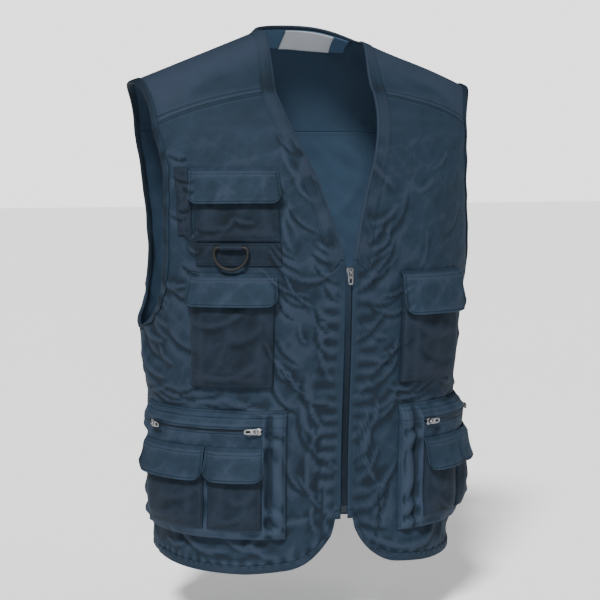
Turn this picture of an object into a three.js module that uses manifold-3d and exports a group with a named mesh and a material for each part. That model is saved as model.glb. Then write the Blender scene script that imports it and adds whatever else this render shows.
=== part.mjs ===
// Sleeveless work vest with a yoke, a zipped front and ten sewn-on pockets.
// Millimetres, +Z up. The front faces -Y and the wearer's right is -X.
// The origin lies midway between the side-neck points, where the vest hangs on the shoulders.
import * as THREE from 'three'
import { mergeVertices } from 'three/addons/utils/BufferGeometryUtils.js'
import Module from 'manifold-3d'

const wasm = await Module()
wasm.setup()

// Driving dimensions of the body
const BODY_LENGTH = 656
const HALF_CHEST = 210
const FRONT_DEPTH = 146
const BACK_DEPTH = 140
const CLOTH = 1.5
const FIT_GAP = 0.3
const SEAT_GAP = 1
const SEAM_GAP = 0.8

// Neck, shoulders and armholes
const NECK_HALF = 67
const NECK_FORWARD = 22
const BACK_NECK_RISE = 12
const BACK_NECK_REACH = 66
const BACK_NECK_SLOPE = 0.75
const LEFT_NECK_FALL = 11
const TIP_HALF = 224
const TIP_DROP = 64
const V_DROP = 285
const UNDERARM_DROP = 368
const SIDE_SEAM = 92
const YOKE_FRONT_IN = 76
const YOKE_FRONT_OUT = 118
const YOKE_BACK = 122
const YOKE_SEAM_POWER = 1.15
const YOKE_LEAN = 0.12
const ARCH_REACH = 0.42

// Front edge and hem
const ZIP_END_RISE = 71
const FRONT_EDGE_GAP = 5
const CORNER_RUN = 50
const CORNER_RISE = 52
const HEM_SLOPE_RUN = 110
const HEM_SLOPE_RISE = 12
const HEM_SLOPE_POWER = 1.5
const SIDE_HEM_RISE = 6
const FOLD_HEIGHT = 6
const FOLD_REACH = 60

// Bands sewn along the edges
const ARMHOLE_BAND = 9
const NECK_BAND = 13
const HEM_BAND = 9
const BAND_CLOTH = 1.1
const NECK_FACING = 34
const FACING_EDGE = 0.02
const BAND_SEAT = 0.7
const BAND_END_GAP = 8

// Lower zipped bellows pockets and the two flap pockets on each
const LOWER_START = 73
const LOWER_WIDTH = 222
const LOWER_TOP_RISE = 199
const LOWER_HEIGHT = 157
const LOWER_DEPTH = 14
const LOWER_PLEAT = 28
const LOWER_ZIP_FALL = 21
const POCKET_ZIP_WIDTH = 9
const SMALL_TOP_FALL = 42
const SMALL_FRONT_WIDTH = 61
const SMALL_HEIGHT = 99
const SMALL_DEPTH = 6
const SMALL_SPACE = 5
const SMALL_EDGE = 1.5
const LOWER_FOOT = 14
const SLOT_TAPER = 5
const TAPE_LAP = 3
const TAPE_SEAT = 1.1
const TAPE_INSET = 2
const POCKET_TEETH = 4
const POCKET_TEETH_THICK = 1.6
const FRONT_HEAD_INSET = 7
const SIDE_HEAD_INSET = 24
const POCKET_HEAD_RISE = 0.3
const SMALL_FLAP = 39
const FLAP_CORNER = 11
const FLAP_CLOTH = 1.6
const FLAP_SPRING = 6
const FLAP_LEAD = 6
const FLAP_OVERHANG = 1.2
const FLAP_CLEAR = 1.4
const POCKET_CLOTH = 1.2

// Chest pockets, pen pocket and ring band
const CHEST_START = 91
const CHEST_WIDTH = 103
const CHEST_TOP = 292
const CHEST_HEIGHT = 137
const CHEST_DEPTH = 8
const CHEST_FLAP = 37
const LEFT_CHEST_START = 71
const LEFT_CHEST_DEPTH = 11
const LEFT_CHEST_FLAP = 51
const UPPER_START = 83
const UPPER_WIDTH = 103
const UPPER_TOP = 168
const UPPER_HEIGHT = 87
const UPPER_DEPTH = 5
const UPPER_FLAP = 42
const PEN_WIDTH = 20
const PEN_SPACE = 3
const PEN_HEIGHT = 80
const PEN_DEPTH = 4
const RING_BAND_HEIGHT = 26
const RING_BAND_CLOTH = 1.4
const BAND_SPACE = 1.5

// Ring in its tab
const RING_WIDTH = 44
const RING_HEIGHT = 30
const RING_BEND = 4
const RING_WIRE = 4
const RING_ALONG = 58
const TAB_WIDTH = 26
const TAB_CLOTH = 1.2
const TAB_LENGTH = 5
const TAB_SEAM_GAP = 0.5
const TAB_SEAT = 0.6
const TAB_LEAVE = 0.3
const TURN_GAP = 0.35

// Zips
const TEETH_WIDTH = 5
const TEETH_THICK = 2.2
const TEETH_LIFT = 0.4
const TAPE_WIDTH = 14
const TAPE_THICK = 0.8
const SLIDER_WIDTH = 9
const SLIDER_LENGTH = 11
const SLIDER_PLATE = 1.6
const EYE_RADIUS = 1.5
const EYE_WALL = 1.1
const EYE_DROP = 1
const BRIDGE_WIDTH = 3
const PULL_WIDTH = 7
const PULL_LENGTH = 15
const PULL_THICK = 1.4
const ZIP_STOP_LENGTH = 9

// Neck label
const LABEL_WIDTH = 60
const LABEL_HEIGHT = 31
const LABEL_THICK = 0.8
const LABEL_SHIFT = 23

// Colours and finishes
const NAVY = 0x2c3e52
const NAVY_DARK = 0x24344a
const TAPE_NAVY = 0x182433
const SILVER = 0xc9ced4
const BLACK = 0x15171a
const WHITE = 0xe6e8ea
const cloth = { color: NAVY, roughness: 0.85, metalness: 0 }
const trimCloth = { color: NAVY_DARK, roughness: 0.85, metalness: 0 }
const tape = { color: TAPE_NAVY, roughness: 0.9, metalness: 0 }
const plastic = { color: TAPE_NAVY, roughness: 0.5, metalness: 0 }
const metal = { color: SILVER, roughness: 0.3, metalness: 1 }
const blackMetal = { color: BLACK, roughness: 0.4, metalness: 0.6 }
const labelCloth = { color: WHITE, roughness: 0.7, metalness: 0 }

const vest = new THREE.Group()

function addPiece(name, geometry, finish) {
  const mesh = new THREE.Mesh(geometry, new THREE.MeshStandardMaterial(finish))
  mesh.name = name
  vest.add(mesh)
  return mesh
}

// Horizontal sections of the body. drop is a share of BODY_LENGTH, half of HALF_CHEST, front of
// FRONT_DEPTH, back and side (how far behind the axis the vest is widest) of BACK_DEPTH.
const SECTIONS = [
  { drop: 0.000, half: 1.000, front: 0.10, back: 0.40, side: 0.02, square: 2.2 },
  { drop: 0.053, half: 1.030, front: 0.26, back: 0.60, side: 0.06, square: 2.2 },
  { drop: 0.105, half: 1.050, front: 0.50, back: 0.78, side: 0.10, square: 2.3 },
  { drop: 0.168, half: 1.070, front: 0.73, back: 0.90, side: 0.14, square: 2.4 },
  { drop: 0.252, half: 1.060, front: 0.93, back: 0.97, side: 0.17, square: 2.4 },
  { drop: 0.337, half: 1.050, front: 1.01, back: 1.00, side: 0.18, square: 2.4 },
  { drop: 0.442, half: 1.030, front: 1.07, back: 1.00, side: 0.16, square: 2.4 },
  { drop: 0.579, half: 0.980, front: 1.05, back: 0.98, side: 0.14, square: 2.4 },
  { drop: 0.736, half: 0.940, front: 1.00, back: 0.98, side: 0.12, square: 2.4 },
  { drop: 0.894, half: 0.920, front: 0.98, back: 0.98, side: 0.10, square: 2.4 },
  { drop: 1.000, half: 0.905, front: 0.98, back: 0.98, side: 0.085, square: 2.4 },
]

// Angle of the armhole edge from the front line, by share of UNDERARM_DROP
const FRONT_ARMHOLE = [
  { drop: 0.25, angle: 69.0 },
  { drop: 0.32, angle: 66.0 },
  { drop: 0.46, angle: 63.0 },
  { drop: 0.66, angle: 64.5 },
  { drop: 0.82, angle: 68.0 },
  { drop: 0.89, angle: 72.5 },
  { drop: 0.96, angle: 81.5 },
  { drop: 1.00, angle: SIDE_SEAM },
]
const BACK_ARMHOLE = [
  { drop: 0.25, angle: 118.0 },
  { drop: 0.33, angle: 121.0 },
  { drop: 0.45, angle: 125.0 },
  { drop: 0.64, angle: 129.3 },
  { drop: 0.82, angle: 127.5 },
  { drop: 0.91, angle: 121.5 },
  { drop: 0.96, angle: 111.0 },
  { drop: 1.00, angle: SIDE_SEAM },
]

// Half width of the neck opening, as a share of NECK_HALF, by share of V_DROP
const V_OPENING = [
  { drop: 0.20, half: 1.00 },
  { drop: 0.29, half: 0.96 },
  { drop: 0.37, half: 0.90 },
  { drop: 0.48, half: 0.77 },
  { drop: 0.62, half: 0.54 },
  { drop: 0.76, half: 0.345 },
  { drop: 0.88, half: 0.20 },
  { drop: 1.00, half: 0.075 },
]

// Soft folds. angle is in degrees from the front line to the wearer's left, drop a share of
// BODY_LENGTH, lean degrees from upright, length and width shares of FOLD_REACH, rise of FOLD_HEIGHT.
const FOLDS = [
  { angle: -14, drop: 0.54, lean: 8, length: 1.5, width: 0.30, rise: 0.6 },
  { angle: -11, drop: 0.43, lean: -68, length: 0.9, width: 0.30, rise: 0.6 },
  { angle: 12, drop: 0.40, lean: 62, length: 0.8, width: 0.30, rise: 0.5 },
  { angle: 10, drop: 0.88, lean: 10, length: 1.2, width: 0.40, rise: -0.7 },
  { angle: 30, drop: 0.97, lean: 80, length: 1.3, width: 0.40, rise: 0.8 },
  { angle: -86, drop: 0.62, lean: 25, length: 0.9, width: 0.45, rise: 0.8 },
  { angle: 86, drop: 0.62, lean: -25, length: 0.9, width: 0.45, rise: 0.8 },
  { angle: -145, drop: 0.70, lean: -12, length: 2.6, width: 0.75, rise: 1.0 },
  { angle: 145, drop: 0.66, lean: 14, length: 2.8, width: 0.75, rise: 0.9 },
  { angle: 176, drop: 0.80, lean: 4, length: 2.4, width: 0.90, rise: -0.9 },
]

// Smooth reading of one column of a table at a share
function readTable(table, share, column) {
  const last = table.length - 1
  const at = THREE.MathUtils.clamp(share, table[0].drop, table[last].drop)
  let i = 0
  while (i < last - 1 && at > table[i + 1].drop) i += 1
  const slope = (k) => {
    const a = table[Math.max(k - 1, 0)]
    const b = table[Math.min(k + 1, last)]
    return (b[column] - a[column]) / (b.drop - a.drop)
  }
  const span = table[i + 1].drop - table[i].drop
  const s = (at - table[i].drop) / span
  const s2 = s * s
  const s3 = s2 * s
  return (2 * s3 - 3 * s2 + 1) * table[i][column] + (s3 - 2 * s2 + s) * span * slope(i)
    + (3 * s2 - 2 * s3) * table[i + 1][column] + (s3 - s2) * span * slope(i + 1)
}

function sectionAt(drop) {
  const share = drop / BODY_LENGTH
  return {
    half: readTable(SECTIONS, share, 'half') * HALF_CHEST,
    front: readTable(SECTIONS, share, 'front') * FRONT_DEPTH,
    back: readTable(SECTIONS, share, 'back') * BACK_DEPTH,
    side: readTable(SECTIONS, share, 'side') * BACK_DEPTH,
    power: 2 / readTable(SECTIONS, share, 'square'),
  }
}

const RADIANS = Math.PI / 180
const MM_PER_DEGREE = HALF_CHEST * RADIANS

// Height of the soft folds at a place on the body
function foldHeight(angle, drop) {
  let height = 0
  for (const fold of FOLDS) {
    let turn = angle - fold.angle
    turn -= 360 * Math.round(turn / 360)
    const across = turn * MM_PER_DEGREE
    const down = drop - fold.drop * BODY_LENGTH
    const c = Math.cos(fold.lean * RADIANS)
    const s = Math.sin(fold.lean * RADIANS)
    const along = (down * c + across * s) / (fold.length * FOLD_REACH)
    const aside = (across * c - down * s) / (fold.width * FOLD_REACH)
    height += fold.rise * FOLD_HEIGHT * Math.exp(-along * along - aside * aside)
  }
  return height
}

// Smooth body without folds
function trunkPoint(angle, drop) {
  const cut = sectionAt(drop)
  const s = Math.sin(angle * RADIANS)
  const c = Math.cos(angle * RADIANS)
  const x = cut.half * Math.sign(s) * Math.abs(s) ** cut.power
  const k = Math.abs(c) ** cut.power
  const y = c > 0 ? cut.side - (cut.front + cut.side) * k : cut.side + (cut.back - cut.side) * k
  return new THREE.Vector3(x, y, -drop)
}

// Half of the distance over which a slope of the body is read
const PROBE = 4

function outward(angle, drop) {
  const across = trunkPoint(angle + 1, drop).sub(trunkPoint(angle - 1, drop))
  const down = trunkPoint(angle, drop + PROBE / 2).sub(trunkPoint(angle, drop - PROBE / 2))
  return across.cross(down).normalize().negate()
}

// Outer face of the vest cloth, or a place that stands a lift above it
function bodyPoint(angle, drop, lift = 0) {
  const height = foldHeight(angle, drop) + lift
  return trunkPoint(angle, drop).addScaledVector(outward(angle, drop), height)
}

// Angle that lies a distance round the body from the front line
const arcTables = new Map()
const ARC_STEP = 3

function arcTable(drop) {
  const key = Math.round(drop)
  if (!arcTables.has(key)) {
    const arcs = [0]
    for (let angle = ARC_STEP; angle <= 180; angle += ARC_STEP) {
      const a = trunkPoint(angle - ARC_STEP, key)
      arcs.push(arcs[arcs.length - 1] + a.distanceTo(trunkPoint(angle, key)))
    }
    arcTables.set(key, arcs)
  }
  return arcTables.get(key)
}

function angleAtArc(arc, drop) {
  const arcs = arcTable(drop)
  const reach = Math.abs(arc)
  let i = 0
  while (i < arcs.length - 2 && reach > arcs[i + 1]) i += 1
  const angle = ARC_STEP * (i + (reach - arcs[i]) / (arcs[i + 1] - arcs[i]))
  return Math.sign(arc) * angle
}

// Place given by distance round the body, drop and height above the cloth
function clothPoint(arc, drop, lift) {
  return bodyPoint(angleAtArc(arc, drop), drop, lift)
}

function angleAtHalf(half, drop) {
  const cut = sectionAt(drop)
  return Math.asin(Math.min(half / cut.half, 1) ** (1 / cut.power)) / RADIANS
}

// Welds patches of points into one closed sheet of even thickness. Each patch is a list of rows
// that all run to the wearer's left (seen from outside) and follow each other downwards.
function clothSheet(patches, wall) {
  const points = []
  const indexOf = new Map()
  const weld = (p) => {
    const key = p.toArray().map((value) => Math.round(value * 200)).join(',')
    if (!indexOf.has(key)) {
      indexOf.set(key, points.length)
      points.push(p.clone())
    }
    return indexOf.get(key)
  }
  const faces = []
  const addFace = (a, b, c) => {
    if (a !== b && b !== c && a !== c) faces.push([a, b, c])
  }
  for (const rows of patches) {
    for (let i = 0; i < rows.length - 1; i += 1) {
      for (let j = 0; j < rows[i].length - 1; j += 1) {
        const a = weld(rows[i][j])
        const b = weld(rows[i][j + 1])
        const c = weld(rows[i + 1][j + 1])
        const d = weld(rows[i + 1][j])
        const shortFirst = points[a].distanceToSquared(points[c]) <= points[b].distanceToSquared(points[d])
        if (shortFirst) {
          addFace(a, d, c)
          addFace(a, c, b)
        } else {
          addFace(a, d, b)
          addFace(d, c, b)
        }
      }
    }
  }
  const normals = points.map(() => new THREE.Vector3())
  for (const [a, b, c] of faces) {
    const ab = points[b].clone().sub(points[a])
    const ac = points[c].clone().sub(points[a])
    const normal = ab.cross(ac)
    for (const i of [a, b, c]) normals[i].add(normal)
  }
  const inner = points.map((p, i) => p.clone().addScaledVector(normals[i].normalize(), -wall))
  const count = points.length
  const index = []
  const edges = new Map()
  for (const [a, b, c] of faces) {
    index.push(a, b, c, a + count, c + count, b + count)
    for (const [p, q] of [[a, b], [b, c], [c, a]]) edges.set(`${p},${q}`, [p, q])
  }
  for (const [p, q] of edges.values()) {
    if (edges.has(`${q},${p}`)) continue
    index.push(q, p, p + count, q, p + count, q + count)
  }
  return solidFrom([...points, ...inner], index)
}

function solidFrom(points, index) {
  const geometry = new THREE.BufferGeometry()
  geometry.setAttribute('position', new THREE.Float32BufferAttribute(points.flatMap((p) => p.toArray()), 3))
  geometry.setIndex(index)
  geometry.computeVertexNormals()
  return geometry
}

function gridOf(downs, acrosses, place) {
  return downs.map((down) => acrosses.map((across) => place(across, down)))
}

function steps(from, to, count) {
  return Array.from({ length: count + 1 }, (_, i) => from + ((to - from) * i) / count)
}

// Drop of the bottom edge at a distance from the front line
function frontHem(arc) {
  const corner = 1 - THREE.MathUtils.clamp((arc - FRONT_EDGE_GAP) / CORNER_RUN, 0, 1)
  const round = CORNER_RISE * (1 - Math.sqrt(1 - corner * corner))
  const run = 1 - THREE.MathUtils.clamp((arc - FRONT_EDGE_GAP) / HEM_SLOPE_RUN, 0, 1)
  const slope = HEM_SLOPE_RISE * run ** HEM_SLOPE_POWER
  return BODY_LENGTH - round - slope
}

// Front panels. side is -1 for the wearer's right, u runs from the front edge to the armhole
// and side seam, and v from the yoke seam to the hem.
const PANEL_COLUMNS = [0, 0.02, 0.055, 0.1, 0.17, 0.26, 0.36, 0.47, 0.59, 0.71, 0.82, 0.91, 1]

function frontEdgeAngle(drop) {
  const half = readTable(V_OPENING, drop / V_DROP, 'half') * NECK_HALF
  return angleAtHalf(drop < V_DROP ? Math.max(half, FRONT_EDGE_GAP) : FRONT_EDGE_GAP, drop)
}

function frontOuterAngle(drop) {
  return readTable(FRONT_ARMHOLE, drop / UNDERARM_DROP, 'angle')
}

function frontSeamDrop(u) {
  return YOKE_FRONT_IN + (YOKE_FRONT_OUT - YOKE_FRONT_IN) * Math.max(u, 0) ** YOKE_SEAM_POWER
}

function frontBottomDrop(u) {
  const arc = u * arcTable(BODY_LENGTH)[Math.round(SIDE_SEAM / ARC_STEP)]
  return frontHem(Math.max(arc, FRONT_EDGE_GAP)) - SIDE_HEM_RISE * u ** 4
}

function frontPoint(side, u, v, lift = 0) {
  const top = frontSeamDrop(u) + FIT_GAP
  const drop = top + (frontBottomDrop(u) - top) * v
  const inner = frontEdgeAngle(drop)
  const angle = inner + (frontOuterAngle(drop) - inner) * u
  return bodyPoint(side * angle, drop, lift)
}

// Share of the way down the side edge at which the armhole ends
function sideShare(drop) {
  const top = YOKE_FRONT_OUT + FIT_GAP
  return (drop - top) / (frontBottomDrop(1) - top)
}

const UNDERARM_SHARE = sideShare(UNDERARM_DROP)
const PANEL_ROWS = [
  ...[0, 0.18, 0.36, 0.54, 0.70, 0.82, 0.91, 0.97].map((share) => share * UNDERARM_SHARE),
  ...steps(UNDERARM_SHARE, 1, 11),
]

function leftward(side, row) {
  return side < 0 ? [...row].reverse() : row
}

for (const [side, name] of [[-1, 'front_panel_right'], [1, 'front_panel_left']]) {
  const rows = PANEL_ROWS.map((v) => leftward(side, PANEL_COLUMNS.map((u) => frontPoint(side, u, v))))
  addPiece(name, clothSheet([rows], CLOTH), cloth)
}

// Back panel. u runs from the wearer's left side seam round to the right, v from the yoke seam
// to the hem.
function backOuterAngle(drop) {
  return readTable(BACK_ARMHOLE, drop / UNDERARM_DROP, 'angle')
}

function backPoint(u, v, lift = 0) {
  const bottom = BODY_LENGTH - SIDE_HEM_RISE
  const top = YOKE_BACK + SEAM_GAP
  const drop = top + (bottom - top) * v
  const edge = backOuterAngle(drop) + SEAM_GAP / MM_PER_DEGREE
  const angle = edge + (360 - 2 * edge) * u
  return bodyPoint(angle, drop, lift)
}

function backShare(drop) {
  const top = YOKE_BACK + SEAM_GAP
  return (drop - top) / (BODY_LENGTH - SIDE_HEM_RISE - top)
}

const BACK_COLUMNS = steps(0, 1, 16)
const BACK_UNDERARM = backShare(UNDERARM_DROP)
const BACK_ROWS = [
  ...[0, 0.18, 0.36, 0.54, 0.70, 0.82, 0.91, 0.97].map((share) => share * BACK_UNDERARM),
  ...steps(BACK_UNDERARM, 1, 11),
]

addPiece('back_panel', clothSheet([gridOf(BACK_ROWS, BACK_COLUMNS, backPoint)], CLOTH), cloth)

// Yoke: one cloth from the front seams over both shoulders to the back seam
const YOKE_COLUMNS = steps(0, 1, 6)
const YOKE_FRONT_ROWS = steps(0, 1, 4)
const NECK_TURNS = steps(-90, 90, 12)
const NECK_SIDE_ANGLE = 149

function ridgePoint(side, s) {
  const neck = new THREE.Vector3(NECK_HALF, -NECK_FORWARD, side > 0 ? -LEFT_NECK_FALL : 0)
  const tip = new THREE.Vector3(TIP_HALF, 0, -TIP_DROP)
  const point = neck.lerp(tip, s)
  point.x *= side
  return point
}

function arch(from, fromWay, to, toWay, t) {
  const reach = from.distanceTo(to) * ARCH_REACH
  const a = from.clone().addScaledVector(fromWay, reach)
  const b = to.clone().addScaledVector(toWay, reach)
  return new THREE.CubicBezierCurve3(from, a, b, to).getPoint(t)
}

function upAlongBody(angle, drop) {
  return bodyPoint(angle, drop - PROBE).sub(bodyPoint(angle, drop + PROBE)).normalize()
}

function yokeFrontPoint(side, s, t) {
  const drop = frontSeamDrop(s)
  const inner = frontEdgeAngle(drop)
  const angle = side * (inner + (frontOuterAngle(drop) - inner) * s)
  const way = new THREE.Vector3(0, -1, YOKE_LEAN)
  return arch(bodyPoint(angle, drop), upAlongBody(angle, drop), ridgePoint(side, s), way.normalize(), t)
}

function yokeBackFrom(top, topWay, angle, t) {
  return arch(top, topWay, bodyPoint(angle, YOKE_BACK), upAlongBody(angle, YOKE_BACK), t)
}

function yokeBackPoint(side, s, t) {
  const outer = backOuterAngle(YOKE_BACK)
  const angle = side * (NECK_SIDE_ANGLE + (outer - NECK_SIDE_ANGLE) * s)
  return yokeBackFrom(ridgePoint(side, s), new THREE.Vector3(0, 1, 0), angle, t)
}

// Back of the neck: turn is -90 at the wearer's right side-neck point and 90 at the left
function backNeckPoint(turn) {
  const s = Math.sin(turn * RADIANS)
  const c = Math.cos(turn * RADIANS)
  const fall = LEFT_NECK_FALL * Math.max(s, 0) ** 3
  return new THREE.Vector3(NECK_HALF * s, BACK_NECK_REACH * c - NECK_FORWARD, BACK_NECK_RISE * c - fall)
}

function yokeNeckPoint(turn, t) {
  const c = Math.cos(turn * RADIANS)
  const angle = 180 - (turn / 90) * (180 - NECK_SIDE_ANGLE)
  const way = new THREE.Vector3(0, 1, -BACK_NECK_SLOPE * c).normalize()
  return yokeBackFrom(backNeckPoint(turn), way, angle, t)
}

const FACING_SHARE = NECK_FACING / yokeNeckPoint(0, 0).distanceTo(yokeNeckPoint(0, 1))
const YOKE_BACK_ROWS = [0, FACING_SHARE / 2, FACING_SHARE, ...steps(FACING_SHARE, 1, 4).slice(1)]

const yokePatches = []
for (const side of [-1, 1]) {
  const front = [...YOKE_FRONT_ROWS].reverse().map((t) => YOKE_COLUMNS.map((s) => yokeFrontPoint(side, s, t)))
  yokePatches.push(front.map((row) => leftward(side, row)))
  const back = YOKE_BACK_ROWS.map((t) => YOKE_COLUMNS.map((s) => yokeBackPoint(side, s, t)))
  yokePatches.push(back.map((row) => leftward(-side, row)))
}
yokePatches.push(YOKE_BACK_ROWS.map((t) => [...NECK_TURNS].reverse().map((turn) => yokeNeckPoint(turn, t))))
addPiece('yoke', clothSheet(yokePatches, CLOTH), cloth)

// Yoke cloth at s across a shoulder and t over it: 0 at the front seam, 1 at the ridge and 2 at
// the back seam
function shoulderPoint(side, s, t) {
  return t < 1 ? yokeFrontPoint(side, s, t) : yokeBackPoint(side, s, t - 1)
}

// A point of a surface raised along its outward side
function raised(place, u, v, lift) {
  const step = 0.01
  const across = place(u + step, v).sub(place(u - step, v))
  const down = place(u, v + step).sub(place(u, v - step))
  const point = place(u, v)
  const normal = across.cross(down).normalize()
  const inside = new THREE.Vector3(point.x / 2, BACK_DEPTH / 4, point.z - FRONT_DEPTH)
  if (normal.dot(point.clone().sub(inside)) < 0) normal.negate()
  return point.addScaledVector(normal, lift)
}

function shoulderRaised(side, s, t, lift) {
  return raised((a, b) => shoulderPoint(side, a, b), s, t, lift)
}

const BAND_LIFT = BAND_CLOTH + BAND_SEAT
const SHOULDER_ROWS = [...YOKE_FRONT_ROWS.slice(1), ...YOKE_BACK_ROWS.slice(1, -1).map((t) => 1 + t)]

function shareOf(width, from, to) {
  return width / from.distanceTo(to)
}

// Armhole bands: up the front edge, over the shoulder tip and down the back edge
const FRONT_ARM_ROWS = PANEL_ROWS.filter((v) => v <= UNDERARM_SHARE + 1e-9)
const BACK_ARM_ROWS = BACK_ROWS.filter((v) => v <= BACK_UNDERARM + 1e-9)

for (const [side, name] of [[-1, 'armhole_band_right'], [1, 'armhole_band_left']]) {
  const front = [...FRONT_ARM_ROWS].reverse().map((v) => {
    const inset = shareOf(ARMHOLE_BAND, frontPoint(side, 0, v), frontPoint(side, 1, v))
    return [1, 1 - inset].map((u) => frontPoint(side, u, v, BAND_LIFT))
  })
  const shoulder = SHOULDER_ROWS.map((t) => {
    const inset = shareOf(ARMHOLE_BAND, shoulderPoint(side, 0, t), shoulderPoint(side, 1, t))
    return [1, 1 - inset].map((s) => shoulderRaised(side, s, t, BAND_LIFT))
  })
  const back = BACK_ARM_ROWS.map((v) => {
    const inset = shareOf(ARMHOLE_BAND, backPoint(0, v), backPoint(0.5, v)) / 2
    return [0, inset].map((u) => backPoint(side > 0 ? u : 1 - u, v, BAND_LIFT))
  })
  const rows = [...front, ...shoulder, ...back]
  addPiece(name, clothSheet([rows.map((row) => leftward(-side, row))], BAND_CLOTH), trimCloth)
}

// Neck band: up the right V edge, round the back of the neck and down the left V edge
const V_ROWS = PANEL_ROWS.filter((v) => v < UNDERARM_SHARE)

function neckBandSide(side) {
  const start = vRowAt(V_DROP - BAND_END_GAP)
  const front = [...V_ROWS.filter((v) => v < start - 0.01), start].reverse().map((v) => {
    const inset = shareOf(NECK_BAND, frontPoint(side, 0, v), frontPoint(side, 1, v))
    return [0, inset].map((u) => frontPoint(side, u, v, BAND_LIFT))
  })
  const shoulder = YOKE_FRONT_ROWS.slice(1).map((t) => {
    const inset = shareOf(NECK_BAND, shoulderPoint(side, 0, t), shoulderPoint(side, 1, t))
    return [0, inset].map((s) => shoulderRaised(side, s, t, BAND_LIFT))
  })
  return [...front, ...shoulder]
}

function vRowAt(drop) {
  const top = frontSeamDrop(0) + FIT_GAP
  return (drop - top) / (frontBottomDrop(0) - top)
}

const neckBack = NECK_TURNS.slice(1, -1).map((turn) => {
  const inset = shareOf(NECK_BAND, yokeNeckPoint(turn, 0), yokeNeckPoint(turn, 1))
  return [0, inset].map((t) => raised(yokeNeckPoint, turn, t, BAND_LIFT))
})
const neckRows = [...neckBandSide(-1), ...neckBack, ...neckBandSide(1).reverse()]
addPiece('neck_band', clothSheet([neckRows], BAND_CLOTH), trimCloth)

// Facing inside the back of the neck, and the label on it
const FACING_LIFT = -(CLOTH + BAND_SEAT)
const neckFacing = [FACING_EDGE, FACING_SHARE / 2, FACING_SHARE].map((t) => [...NECK_TURNS].reverse()
  .slice(1, -1).map((turn) => raised(yokeNeckPoint, turn, t, FACING_LIFT)))
addPiece('neck_facing', clothSheet([neckFacing], BAND_CLOTH), trimCloth)

const LABEL_LIFT = FACING_LIFT - BAND_CLOTH - SEAT_GAP
const LABEL_SHARE = shareOf(LABEL_HEIGHT, yokeNeckPoint(0, 0), yokeNeckPoint(0, 1))
const labelRows = [FACING_EDGE, FACING_SHARE / 2, LABEL_SHARE + FACING_EDGE].map(
  (t) => steps(LABEL_WIDTH / 2, -LABEL_WIDTH / 2, 4).map((x) => {
    const turn = Math.asin(THREE.MathUtils.clamp((x + LABEL_SHIFT) / NECK_HALF, -1, 1)) / RADIANS
    return raised(yokeNeckPoint, turn, t, LABEL_LIFT)
  }))
addPiece('neck_label', clothSheet([labelRows], LABEL_THICK), labelCloth)

// Hem bands along the lower edges
for (const [side, name] of [[-1, 'hem_band_right'], [1, 'hem_band_left']]) {
  const rows = [0, 1].map((share) => leftward(side, PANEL_COLUMNS.slice(1, -1).map((u) => {
    const height = frontBottomDrop(u) - frontSeamDrop(u)
    const back = HEM_BAND / height
    const inset = share === 0 && u < 0.1 ? u + HEM_BAND / (3 * HALF_CHEST) : u
    return frontPoint(side, inset, share === 0 ? 1 - back : 1, BAND_LIFT)
  })))
  addPiece(name, clothSheet([rows], BAND_CLOTH), trimCloth)
}
const hemBack = HEM_BAND / (BODY_LENGTH - YOKE_BACK)
const hemColumns = BACK_COLUMNS.slice(1, -1)
addPiece('hem_band_back', clothSheet(
  [gridOf([1 - hemBack, 1], hemColumns, (u, v) => backPoint(u, v, BAND_LIFT))], BAND_CLOTH), trimCloth)

// Patch pockets. Across and down profiles give the height of the cloth as a share of the depth.
function tentShare(table, at) {
  let i = 0
  while (i < table.length - 2 && at > table[i + 1][0]) i += 1
  const [x0, y0] = table[i]
  const [x1, y1] = table[i + 1]
  return y0 + ((y1 - y0) * THREE.MathUtils.clamp(at - x0, 0, x1 - x0)) / (x1 - x0)
}

const RIM_LIFT = SEAT_GAP + POCKET_CLOTH * 0.65
const PATCH_EDGE = 2

function patchHeight(pocket, arc, drop) {
  const edge = Math.min(arc - pocket.start, pocket.start + pocket.width - arc)
  const down = drop - pocket.top
  const across = tentShare([[0, 0], [PATCH_EDGE, 0.78], [pocket.width / 6, 1], [pocket.width / 2, 1.12]], edge)
  const mouth = tentShare([[0, 0.55], [pocket.height * 0.3, 1], [pocket.height, 1]], down)
  const foot = tentShare([[0, 0], [PATCH_EDGE, 0.8], [pocket.height / 6, 1]], pocket.height - down)
  return RIM_LIFT + (pocket.depth - RIM_LIFT) * across * mouth * foot
}

function patchColumns(pocket, inner) {
  const end = pocket.start + pocket.width
  return [pocket.start, ...steps(pocket.start + PATCH_EDGE, end - PATCH_EDGE, inner), end]
}

function patchRows(pocket, inner) {
  const bottom = pocket.top + pocket.height
  return [...steps(pocket.top, bottom - PATCH_EDGE, inner), bottom]
}

function addPocket(name, side, pocket, ground, columns, rows) {
  const grid = patchRows(pocket, rows).map((drop) => leftward(side, patchColumns(pocket, columns).map(
    (arc) => clothPoint(side * arc, drop, ground(arc, drop) + patchHeight(pocket, arc, drop)))))
  addPiece(name, clothSheet([grid], POCKET_CLOTH), cloth)
}

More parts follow.
